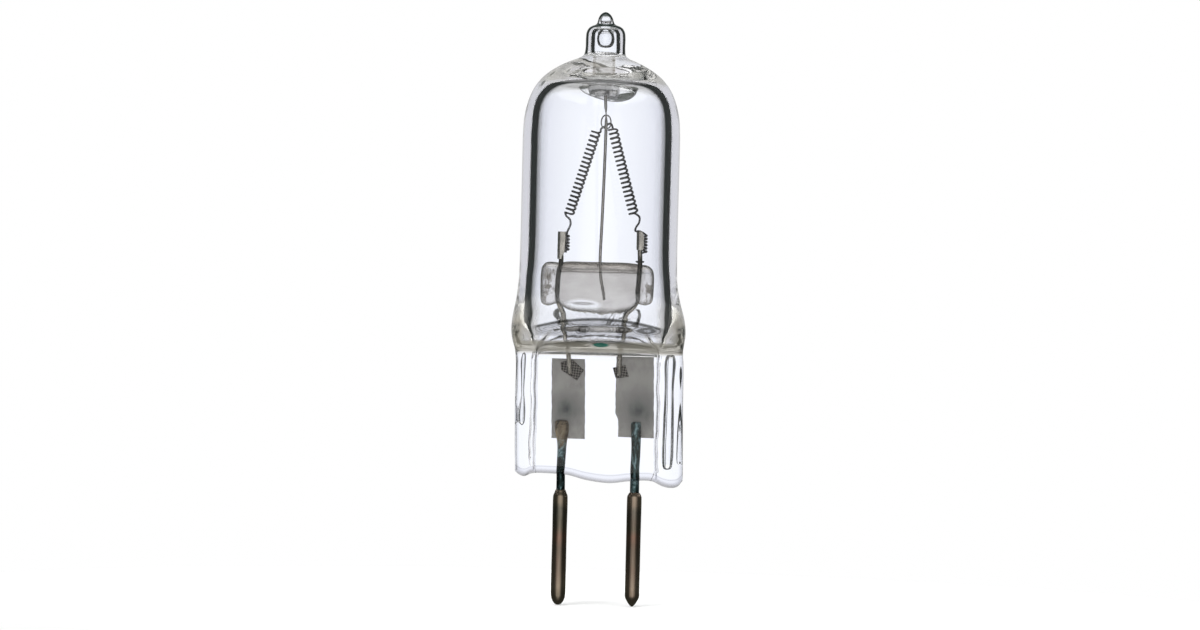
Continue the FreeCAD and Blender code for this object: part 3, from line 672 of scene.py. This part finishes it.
DRIP_TILT = 0.10
DRIP_SHARE = 0.98
HANGS_ABOVE = 34.2


def turned(profile, x, columns, count):
    """A closed surface of revolution about the upright line at x; the profile is (radius, height)."""
    radius, height = upright(smooth_line(profile, count))
    radius = np.maximum(radius, 0)
    angle = circle_angles(columns)
    return points(x + radius * np.cos(angle), radius * np.sin(angle), height)


def hang_glass(grid):
    """Lets the drip and the boss hang from the ceiling: each lowers the points inside its own rim. The
    boss is a short cylinder, and the drip is half an ellipsoid that hangs lower at one end."""
    x, y, z = np.moveaxis(grid, -1, 0)
    near_boss = np.hypot(x - BOSS_PLACE[0], y - BOSS_PLACE[1])
    boss = (CEILING - BOSS_BOTTOM) * (1 - ease(near_boss, BOSS_R - BOSS_SOFT, BOSS_R + BOSS_SOFT))
    near_drip = np.hypot(x - DRIP_X, (y - DRIP_Y) / DRIP_FLATNESS) / DRIP_R
    tilt = 1 + DRIP_TILT * (x - DRIP_X)
    drip = (CEILING - DRIP_BOTTOM) * tilt * np.sqrt(np.clip(1 - near_drip**2, 0, 1)) * DRIP_SHARE
    lowered = np.where(z > HANGS_ABOVE, np.maximum(boss, drip), 0)
    return points(x, y, z - lowered)


inside_levels = smooth_line(with_circles(GAS_FLOOR, [(z, TUBE_X, radius) for z, radius in GAS_TUBE]), 76)
roof = [(CEILING + CEILING_RISE * (1 - (radius / ROOF_R) ** 2), TUBE_X, radius)
        for radius in np.linspace(ROOF_R, 0, 62)[1:]]
inside_levels = np.concatenate([inside_levels, with_circles([], roof)])
inside_levels[:, 4] = np.maximum(inside_levels[:, 4], 2)
inside = hang_glass(oblong_rings(inside_levels, ring_directions(36, 36)))

nub_bore = turned([
    (0, 36.62), (0.22, 36.66), (0.45, 36.85), (0.75, 37.0), (1.02, 37.2), (1.09, 37.6), (1.09, 38.9),
    (1.04, 39.3), (0.88, 39.52), (0.73, 39.47), (0.68, 39.2), (0.75, 38.9), (0.70, 38.45), (0.45, 38.08),
    (0, 37.97),
], NUB_X, 64, 80)
tip_bubble = turned([
    (0, 38.12), (0.36, 38.22), (0.57, 38.55), (0.62, 38.88), (0.55, 39.2), (0.44, 39.55), (0.40, 39.84),
    (0.43, 40.15), (0.45, 40.42), (0.36, 40.68), (0.18, 40.81), (0, 40.84),
], NUB_X - 0.02, 48, 60)
left_void = turned([
    (0, 5.5), (0.12, 5.7), (0.18, 6.5), (0.14, 7.4), (0.085, 8.2), (0.10, 9.6), (0.13, 11.2), (0.09, 11.7),
    (0, 11.9),
], -6.30, 24, 50)
right_void = turned([
    (0, 1.95), (0.26, 2.05), (0.38, 2.5), (0.39, 6.0), (0.33, 9.0), (0.38, 11.3), (0.2, 11.95), (0, 12.0),
], 5.75, 32, 40)
slit = turned([(0, 2.4), (0.05, 2.6), (0.09, 5.0), (0.06, 8.0), (0.09, 11.0), (0, 11.8)], 6.42, 20, 30)
# turned inside out, so that their faces look into the hollow
hollows = [grid[:, ::-1] for grid in (inside, nub_bore, tip_bubble, left_void, right_void, slit)]
piece("glass_shell", [outside, *hollows], quartz, "glass_envelope",
      hollows=len(hollows), rises=outside_levels[:, 0])

# %% [markdown]
# ## The bridge bead
# The bead is a bar of soft glass melted round the leads, so it has lobes outside the leads, a rounded
# top rim and a sagging lower edge. Its outline comes from the same superellipse rings, taken along X.

# %% The bridge bead
BEAD_END_POWER = 2.6
BEAD_SIDE_POWER = 3.4
BEAD_END_LENGTH = 0.80
BEAD_END_SHRINK = 0.9
# sideways place, lowest and highest z, half depth of the bar before its ends are rounded
BEAD = [
    (-5.28, 15.16, 19.55, 1.12), (-4.90, 15.14, 19.60, 1.16), (-4.40, 15.18, 19.62, 1.22),
    (-4.05, 15.34, 19.60, 1.28), (-3.72, 15.38, 19.56, 1.36), (-3.40, 15.08, 19.60, 1.40),
    (-3.0, 14.90, 19.66, 1.42), (-1.20, 14.82, 19.66, 1.42), (0.40, 14.80, 19.66, 1.42),
    (1.80, 14.84, 19.66, 1.42), (2.50, 15.02, 19.62, 1.42), (2.90, 15.36, 19.58, 1.38),
    (3.15, 15.52, 19.52, 1.30), (3.45, 15.42, 19.52, 1.20), (3.90, 15.36, 19.46, 1.14),
    (4.37, 15.40, 19.38, 1.08),
]


def bead_rings(keys, count, columns):
    """Upright rounded-oblong rings set along X, closer together towards the ends. Both ends close like
    a quarter of a superellipse, so that they look like melted lobes."""
    left, right = keys[0][0], keys[-1][0]
    share = np.interp(np.linspace(0, 1, count), [0, 0.25, 0.75, 1], [0, 0.085, 0.915, 1])[:, None]
    x = left + (right - left) * share
    line = smooth_line(keys, 300)
    low, high, deep = (np.interp(x, line[:, 0], line[:, k]) for k in (1, 2, 3))
    from_end = np.minimum(x - left, right - x) / BEAD_END_LENGTH
    close = (1 - np.clip(1 - from_end, 0, 1) ** BEAD_END_POWER) ** (1 / BEAD_END_POWER)
    cy, cz = ring_directions(columns, columns).T
    size = (np.abs(cy) ** BEAD_SIDE_POWER + np.abs(cz) ** BEAD_SIDE_POWER) ** (-1 / BEAD_SIDE_POWER)
    tall = ((high - low) / 2 - BEAD_END_SHRINK * (1 - close)) * np.clip(close * 4, 0, 1)
    return points(x, deep * close * cy * size, (high + low) / 2 + tall * cz * size)


piece("bead_bar", [bead_rings(BEAD, 130, 34)], bead_glass, "bridge_bead")

# %% [markdown]
# ## Wires
# A wire is a circle carried along a path. At every point of the path the circle needs two directions
# square to the path. The first is handed on from point to point and made square again each time, so
# the wire never twists or flips.

# %% A circle carried along a path
def frames_along(path):
    """Two directions square to the path at each of its points, handed on so that they don't twist."""
    forward = np.gradient(path, axis=0)
    forward /= np.linalg.norm(forward, axis=1)[:, None]
    side = np.zeros_like(path)
    current = np.cross(forward[0], (0.3, 1.0, 0.2))
    for k, direction in enumerate(forward):
        current = current - direction * current.dot(direction)
        current = current / np.linalg.norm(current)
        side[k] = current
    return side, np.cross(forward, side)


def wire(path, radius, sides=16):
    """A tube of round rings along the path, closed at both ends. The radius may change along it."""
    side, other = frames_along(path)
    radius = np.broadcast_to(np.asarray(radius, float), len(path))[:, None, None]
    angle = circle_angles(sides)[..., None]
    rings = path[:, None] + radius * (np.cos(angle) * side[:, None] + np.sin(angle) * other[:, None])
    first, last = path[:1, None].repeat(sides, 1), path[-1:, None].repeat(sides, 1)
    return np.concatenate([first, rings, last])


# %% The support wire and its eye
SUPPORT_R, NECK_R = 0.13, 0.055
EYE_X, EYE_Z = -0.03, 31.60
EYE_HALF_W, EYE_HALF_H = 0.50, 0.52
EYE_WIRE_R = 0.058
EYE_TURN = math.radians(33)

support_path = smooth_line([
    (-0.14, 0, 34.6), (-0.13, 0, 34.0), (-0.11, 0, 33.1), (-0.06, 0, 32.3), (-0.03, 0, 31.5),
    (-0.04, 0, 30.2), (-0.09, 0, 27.0), (-0.18, 0, 23.0), (-0.26, 0, 19.9), (-0.20, 0, 18.4),
    (0.03, 0, 17.2), (0.21, 0, 16.05),
], 120)
neck = ease(support_path[:, 2], 31.6, 32.2) * (1 - ease(support_path[:, 2], 32.2, 32.9))
support_radius = SUPPORT_R - (SUPPORT_R - NECK_R) * neck
loop = np.linspace(0, 2 * math.pi, 72) - 0.15
eye_out = EYE_HALF_W * np.cos(loop)
eye_path = points(EYE_X + eye_out * math.cos(EYE_TURN), eye_out * math.sin(EYE_TURN),
                  EYE_Z + EYE_HALF_H * np.sin(loop))
piece("support_line", [wire(support_path, support_radius, 18), wire(eye_path, EYE_WIRE_R, 12)],
      support_metal, "support_wire")

# %% [markdown]
# ## The filament
# The filament is a coiled coil: tungsten wire thinner than a hair is wound into a fine coil, and that
# coil is wound again into the two legs we can see. The path of the second coil is worked out first.
# Then a tiny circle runs round this path, about fourteen times in each millimetre, and that line carries
# the wire itself.

# %% The path of the legs
HOOK_SHARE = 0.22
HOOK_CLIMB = 0.8
COIL_R = 0.36
GRIP_HALF_W, GRIP_HALF_D = 0.17, 0.12
LEAD_Y = -0.90
KEYS_PER_TURN = 16


def coil(start, end, across, deep, turns, phase, hooks=None):
    """A screw line from start to end whose loops are across wide and deep deep. With hooks, each loop
    lies square to the axis and climbs to the next one mostly near that share of a turn."""
    start, end = np.array(start, float), np.array(end, float)
    t = np.linspace(0, 1, int(turns * KEYS_PER_TURN) + 1)[:, None]
    axis = end - start
    side = np.array([axis[2], 0, -axis[0]]) / np.hypot(axis[0], axis[2])
    angle = 2 * math.pi * (phase + turns * t)
    climb = t
    if hooks is not None:
        turn = phase + turns * t - hooks + 0.5
        step = ease(turn % 1, 0.5 - HOOK_SHARE, 0.5 + HOOK_SHARE)
        climb = (np.floor(turn) + step - 0.5 - phase + hooks) / turns
        climb = HOOK_CLIMB * climb + (1 - HOOK_CLIMB) * t
    return start + axis * climb + side * across * np.cos(angle) + np.array([0, deep, 0]) * np.sin(angle)


left_grip = coil((-3.12, LEAD_Y, 20.45), (-3.12, LEAD_Y, 22.00), GRIP_HALF_W, GRIP_HALF_D, 5.5, 0.25)
left_leg = coil((-2.97, -1.20, 23.70), (-0.83, 0.30, 30.90), COIL_R, -COIL_R, 19.5, 0.5, hooks=0.0)
right_leg = coil((0.53, 0.28, 31.15), (2.50, -1.20, 23.80), COIL_R, -COIL_R, 19.5, 0.75, hooks=0.5)
right_grip = coil((3.47, LEAD_Y, 22.00), (3.47, LEAD_Y, 20.5), GRIP_HALF_W, GRIP_HALF_D, 5.5, 0.5)
left_tail = [(-3.12, -0.84, 22.14), (-2.98, -0.92, 22.45), (-2.84, -1.00, 22.85), (-2.93, -1.10, 23.25),
             (-3.22, -1.18, 23.50)]
bridge = [(-0.44, 0.36, 31.10), (-0.14, 0.36, 31.30), (0.02, 0.32, 31.42), (0.20, 0.24, 31.52),
          (0.42, 0.40, 31.50)]
right_tail = [(2.98, -1.10, 23.55), (2.96, -1.02, 23.10), (2.70, -0.98, 22.66), (2.66, -0.95, 22.36),
              (2.98, -1.00, 22.36), (3.36, -0.86, 22.20)]
filament_keys = np.concatenate([left_grip, left_tail, left_leg, bridge, right_leg, right_tail, right_grip])
filament_path = smooth_line(filament_keys, 4200)

# %% The fine coil along that path
FINE_R = 0.070
FINE_WIRE_R = 0.030
FINE_PITCH = 0.072
POINTS_PER_TURN = 8


def fine_coil(path, radius, pitch):
    """A screw line round the path: its angle grows evenly with the distance along the path."""
    step = np.linalg.norm(np.diff(path, axis=0), axis=1)
    distance = np.concatenate([[0], np.cumsum(step)])
    turns = distance[-1] / pitch
    s = np.linspace(0, distance[-1], int(turns * POINTS_PER_TURN))
    at, a, b = (np.stack([np.interp(s, distance, line[:, k]) for k in range(3)], axis=1)
                for line in (path, *frames_along(path)))
    angle = 2 * math.pi * s[:, None] / pitch
    print("wound coil: %.1f mm long, fine coil: %.0f turns" % (distance[-1], turns))
    return at + radius * (a * np.cos(angle) + b * np.sin(angle))


filament_line = fine_coil(filament_path, FINE_R, FINE_PITCH)
piece("filament_coils", [wire(filament_line, FINE_WIRE_R, 5)], filament_metal, "filament")

# %% [markdown]
# ## Inner leads, clamps, foils and tabs
# Each inner lead is one bent wire that runs from its foil through the bead to a clamp, a folded strip
# of metal that grips the end of the filament. Its foot is welded to a small tab on the foil.

# %% The inner leads
LEAD_R = 0.20
WELD_Y = 0.13
CURL_X, CURL_Z = 3.11, 19.74
CURL_HALF_W, CURL_HALF_D = 0.30, 0.28
CURL_WIRE_R = 0.075
LEFT_LEAD_X, RIGHT_LEAD_X = -3.60, 3.09

left_lead = smooth_line([
    (-2.60, WELD_Y, 9.95), (-2.70, WELD_Y, 11.0), (-2.79, WELD_Y, 11.9), (-2.90, 0.10, 12.75),
    (-3.22, -0.12, 13.4), (-3.24, -0.35, 14.2), (-3.58, -0.75, 15.05), (-3.79, LEAD_Y, 16.0),
    (-3.77, LEAD_Y, 17.2), (-3.68, LEAD_Y, 18.7), (-3.56, LEAD_Y, 19.7), (LEFT_LEAD_X, LEAD_Y, 20.6),
    (LEFT_LEAD_X, LEAD_Y, 22.15),
], 110)
right_lead = smooth_line([
    (1.60, WELD_Y, 9.95), (1.62, WELD_Y, 11.6), (1.68, 0.10, 12.6), (1.98, -0.12, 13.4),
    (2.03, -0.38, 14.3), (2.25, -0.60, 14.85), (2.68, -0.80, 15.2), (2.98, LEAD_Y, 15.9),
    (2.95, LEAD_Y, 17.0), (3.00, LEAD_Y, 18.3), (3.12, LEAD_Y, 19.7), (RIGHT_LEAD_X, LEAD_Y, 20.6),
    (RIGHT_LEAD_X, LEAD_Y, 22.15),
], 110)
# a turn of thin wire round the right lead, just above the bead
curl = np.linspace(0.2, 5.6, 40)
curl_path = points(CURL_X + CURL_HALF_W * np.cos(curl), LEAD_Y + CURL_HALF_D * np.sin(curl),
                   CURL_Z + 0.03 * np.cos(2 * curl))
piece("lead_left", [wire(left_lead, LEAD_R, 18)], lead_metal, "inner_lead_left")
piece("lead_right", [wire(right_lead, LEAD_R, 18), wire(curl_path, CURL_WIRE_R, 10)], lead_metal,
      "inner_lead_right")

# %% The clamps: a strip folded round the lead
CLAMP_T = 0.09


def closed_band(face, back, middle):
    """Joins two faces of a sheet into a closed surface whose ends are pinched to their middle."""
    rings, cap = (np.concatenate([a, b[:, ::-1]], axis=1) for a, b in ((face, back), (middle, middle)))
    return np.concatenate([cap[:1], rings, cap[-1:]])


def folded_strip(x, levels, count=60, columns=40):
    """A U of metal open to the right. Its section goes out round the lead and back; the levels give
    (height, radius of the fold, reach of the two legs)."""
    z, fold, reach = upright(smooth_line(levels, count))
    t = np.linspace(0, 1, columns)[None, :]
    bend = math.pi * np.clip((t - 0.25) / 0.5, 0, 1) + math.pi / 2
    leg = np.maximum(0.25 - t, 0) + np.maximum(t - 0.75, 0)

    def section(radius):
        return points(x + radius * np.cos(bend) + reach * leg * 4, LEAD_Y - radius * np.sin(bend), z)

    outer, inner = section(fold + CLAMP_T), section(fold)
    return closed_band(outer, inner, (outer + inner) / 2)[:, ::-1]


left_levels = [(19.85, 0.19, 0.05), (20.1, 0.20, 0.12), (20.45, 0.21, 0.30), (21.0, 0.21, 0.36),
               (22.0, 0.21, 0.37), (22.17, 0.21, 0.37)]
right_levels = [(20.75, 0.20, 0.26), (21.2, 0.21, 0.30), (22.0, 0.21, 0.30), (22.3, 0.21, 0.14),
                (22.40, 0.18, 0.02)]
piece("clamp_left", [folded_strip(LEFT_LEAD_X, left_levels)],
      clamp_metal, "filament_clamp_left")
piece("clamp_right", [folded_strip(RIGHT_LEAD_X, right_levels)],
      clamp_metal, "filament_clamp_right")

# %% Foils and weld tabs: thin sheets inside the glass
# depth of the front (each tab has its own), thickness, height of the waves, columns and rows
FOIL = (0.34, 0.03, 0.012, 48, 60)
TAB = (0.05, 0.004, 20, 20)


def sheet(corners, front, thickness, wave, columns, rows, nick=0.0):
    """A thin closed sheet between four corners in X and Z (lower left, lower right, upper right, upper
    left), gently waved in depth and a little ragged on its edges. A nick moves the lower left edge in."""
    u = np.linspace(0, 1, columns)[None, :, None]
    v = np.linspace(0, 1, rows)[:, None, None]
    a, b, c, d = (np.array(p, float) for p in corners)
    flat = (1 - v) * ((1 - u) * a + u * b) + v * ((1 - u) * d + u * c)
    x, z = flat[..., 0], flat[..., 1]
    u = u[..., 0]
    ragged = 0.012 * np.sin(3.1 * z + 1) + 0.008 * np.sin(7.7 * z) + nick * (1 - ease(z, 6.0, 6.9)) * (1 - u)
    x = x + ragged * (2 * u - 1)
    depth = front + wave * (np.sin(1.7 * x + 0.6 * z) + 0.5 * np.sin(2.9 * z))
    face, back = points(x, depth, z), points(x, depth + thickness, z)
    return closed_band(face, back, (face + back) / 2)


piece("foil_left", [sheet([(-4.06, 4.46), (-1.20, 4.44), (-1.34, 11.36), (-4.20, 11.38)], *FOIL)],
      foil_metal, "sealing_foil_left")
piece("foil_right", [sheet([(1.36, 4.70), (4.72, 4.64), (4.56, 11.78), (1.34, 11.76)], *FOIL, nick=-0.28)],
      foil_metal, "sealing_foil_right")
piece("tab_left", [sheet([(-2.02, 9.42), (-1.42, 10.36), (-2.36, 11.22), (-3.42, 10.98)], 0.26, *TAB),
                   sheet([(-3.34, 10.30), (-1.98, 9.44), (-2.36, 11.20), (-3.42, 11.03)], 0.262, *TAB)],
      tab_metal, "weld_tab_left")
piece("tab_right", [sheet([(1.33, 9.69), (2.44, 9.86), (2.12, 10.87), (1.05, 10.63)], 0.27, *TAB)],
      tab_metal, "weld_tab_right")

# %% [markdown]
# ## Outer leads and pins
# Thick leads come down from the foils. The upper end of the left one was beaten flat before it was
# welded. Each pin is a turned sleeve over its lead, with a cone at the top and a rounded lower end.

# %% Outer leads
PIN_X = 3.175
OUTER_LEAD_R = 0.40
OUTER_LEAD_Y = 0.02


def outer_lead(x, paddle, columns=36):
    """A round bar whose upper end widens to the paddle's half width while it gets thinner."""
    widening = 0.41 + (paddle - OUTER_LEAD_R) * 0.4
    keys = smooth_line([(-3.9, OUTER_LEAD_R, OUTER_LEAD_R), (3.9, OUTER_LEAD_R, OUTER_LEAD_R),
                        (4.5, widening, 0.37), (5.1, paddle, 0.31), (5.75, paddle, 0.29),
                        (5.95, paddle * 0.86, 0.24), (6.02, paddle * 0.5, 0.12), (6.03, 0, 0)], 60)
    z, wide, deep = upright(keys)
    wide, deep = np.maximum(wide, 0), np.maximum(deep, 0)
    angle = circle_angles(columns)
    sway = 0.03 * np.sin(1.2 * z + x) * ease(z, 0.5, 2)
    grid = points(x + sway + wide * np.cos(angle), OUTER_LEAD_Y + deep * np.sin(angle), z)
    foot = grid[:1].mean(axis=1, keepdims=True).repeat(columns, 1)
    return np.concatenate([foot, grid])


piece("outer_lead_l", [outer_lead(-PIN_X, 0.58)], outer_lead_metal, "outer_lead_left")
piece("outer_lead_r", [outer_lead(PIN_X, 0.42)], outer_lead_metal, "outer_lead_right")

# %% Pins
PIN_R = 0.625
left_pin = turned([
    (0, -9.82), (0.18, -9.80), (0.36, -9.66), (0.50, -9.44), (0.60, -9.12), (PIN_R, -8.85), (PIN_R, -4.0),
    (PIN_R, -0.52), (0.60, -0.40), (0.50, -0.16), (0.44, 0.01), (0.40, 0.05), (0.2, 0.05), (0, 0.05),
], -PIN_X, 48, 110)
right_pin = turned([
    (0, -9.84), (0.08, -9.83), (0.26, -9.66), (0.42, -9.42), (0.57, -9.14), (0.622, -8.95), (PIN_R, -8.6),
    (PIN_R, -4.0), (PIN_R, -0.50), (0.61, -0.38), (0.50, -0.16), (0.43, -0.07), (0.40, -0.05), (0.2, -0.05),
    (0, -0.05),
], PIN_X, 48, 110)
piece("pin_left", [left_pin], pin_metal, "contact_pin_left")
piece("pin_right", [right_pin], pin_metal, "contact_pin_right")

# %% [markdown]
# ## Floor, light and camera
# The floor is a plain pale disc under the pins. The light round the bulb is bright in a band along the
# horizon and greyer above and below it, the same from every side. Rays that the glass has turned round
# inside itself meet a softer light, and so do rays from the metal parts, which would look flat in an
# even white. The camera itself sees plain white in every direction.

# %% The floor
FLOOR_Z = -9.86
FLOOR_RADII = (0.0, 30.0, 62.0)
FLOOR_COLUMNS = 128

f = material("studio_floor", Roughness=0.9, Specular_IOR_Level=0.0, Emission_Color=1.0,
             Emission_Strength=0.12)
f.paint(Base_Color=f.ramp(f.noise(0.02, detail=2), (0.3, (0.86, 0.86, 0.87)), (0.7, 0.90)))
angle = circle_angles(FLOOR_COLUMNS)
radius = np.array(FLOOR_RADII)[:, None]
floor_top = points(radius * np.cos(angle), radius * np.sin(angle), FLOOR_Z)
floor_mesh = bpy.data.meshes.new("floor")
floor_faces = grid_faces(len(FLOOR_RADII), FLOOR_COLUMNS)
floor_mesh.from_pydata(floor_top.reshape(-1, 3) * MM, [], floor_faces.tolist())
floor_mesh.materials.append(f.owner)
floor = place_in_scene("floor", floor_mesh)
floor.visible_glossy = False
floor.visible_diffuse = False
print("floor at %.2f mm" % FLOOR_Z)

# %% The light round the bulb
world = bpy.data.worlds.new("studio")
bpy.context.scene.world = world
f = Finish(world, "Background", Strength=1.0)
looking = f.node("SeparateXYZ", f.node("TexCoord").outputs["Generated"])
upward = f.grey(looking.outputs["Z"], -1, 1)
backward = f.grey(looking.outputs["Y"], -1, 1)
# through the glass: a bright band round the horizon with greyer light above and below, 0.5 is level
through_light = f.ramp(upward, (0, 0.66), (0.22, 0.45), (0.28, (0.74, 0.74, 0.75)),
                       (0.33, (1.01, 1.03, 1.09)), (0.66, (1.01, 1.03, 1.09)), (0.74, (0.96, 0.97, 1.01)),
                       (0.82, (0.85, 0.85, 0.86)), (0.90, (0.78, 0.775, 0.76)), (1, 0.85))
# on bare metal: light from the front and a little from the back, place 0 is behind the camera
metal_light = f.ramp(backward, (0, (0.95, 0.94, 0.92)), (0.04, (0.80, 0.79, 0.77)),
                     (0.12, (0.22, 0.22, 0.21)), (0.24, (0.07, 0.075, 0.07)), (0.90, (0.08, 0.09, 0.08)),
                     (0.96, (0.42, 0.42, 0.41)), (1, (0.55, 0.55, 0.54)))
# on rays that a wall of the glass turns round
inner_light = f.ramp(backward, (0, 0.95), (0.12, 0.85), (0.30, (0.66, 0.66, 0.65)),
                     (0.60, (0.62, 0.62, 0.61)), (0.85, (0.60, 0.60, 0.61)), (0.93, (0.70, 0.70, 0.75)),
                     (1, (0.86, 0.86, 0.92)))
ray = f.node("LightPath").outputs
turned_once = f.join("GREATER_THAN", ray["Glossy Depth"], 0.5)
from_gas_space = f.join("GREATER_THAN", ray["Transmission Depth"], 3.5)
inner_light = f.blend(from_gas_space, inner_light, metal_light)
seen_light = f.blend(turned_once, through_light, inner_light)
seen_light = f.blend(ray["Is Transmission Ray"], metal_light, seen_light)
f.paint(Color=f.blend(ray["Is Camera Ray"], seen_light, 1.0))
# a ray may turn round inside the glass this many times before it is given up as dark
scene_cycles = bpy.context.scene.cycles
scene_cycles.glossy_bounces = 16
scene_cycles.transmission_bounces = 24
scene_cycles.max_bounces = 32

def softbox(name, place, target, size, power):
    """A square area light at a place in metres, turned to the target. The glass and the metals don't
    show its image."""
    lamp = bpy.data.lights.new(name, "AREA")
    lamp.shape = "SQUARE"
    lamp.size = size
    lamp.energy = power
    made = place_in_scene(name, lamp)
    direction = Vector(target) - Vector(place)
    made.location = place
    made.rotation_euler = direction.to_track_quat("-Z", "Y").to_euler()
    made.visible_glossy = False
    made.visible_transmission = False
    print(f"{name}: {power} W")


softbox("top_light", (0, -0.05, 0.55), (0, 0, 0), 0.6, 5.0)
softbox("front_left", (-0.22, -0.42, 0.20), (0, 0, 0.012), 0.20, 1.6)

# %% The camera
VIEW_CENTRE = np.array([-0.155, 0.0, 15.11]) * MM
FRAME_WIDTH = 103.0 * MM
CAMERA_FAR = 450 * MM
BULB_LEAN = math.radians(-1.4)
SENSOR_WIDTH = 36
camera_data = bpy.data.cameras.new("camera")
camera_data.sensor_width = SENSOR_WIDTH
camera_data.lens = SENSOR_WIDTH * CAMERA_FAR / FRAME_WIDTH
camera_data.clip_start = 0.01
camera_data.clip_end = 10
camera = place_in_scene("camera", camera_data)
camera.location = VIEW_CENTRE - np.array([0, CAMERA_FAR, 0])
camera.rotation_euler = (math.radians(90), BULB_LEAN, 0)
bpy.context.scene.camera = camera
bpy.context.scene.view_settings.view_transform = "Standard"
print("camera lens: %.1f mm" % camera_data.lens)

# %% A last update of the scene
bpy.context.view_layer.update()
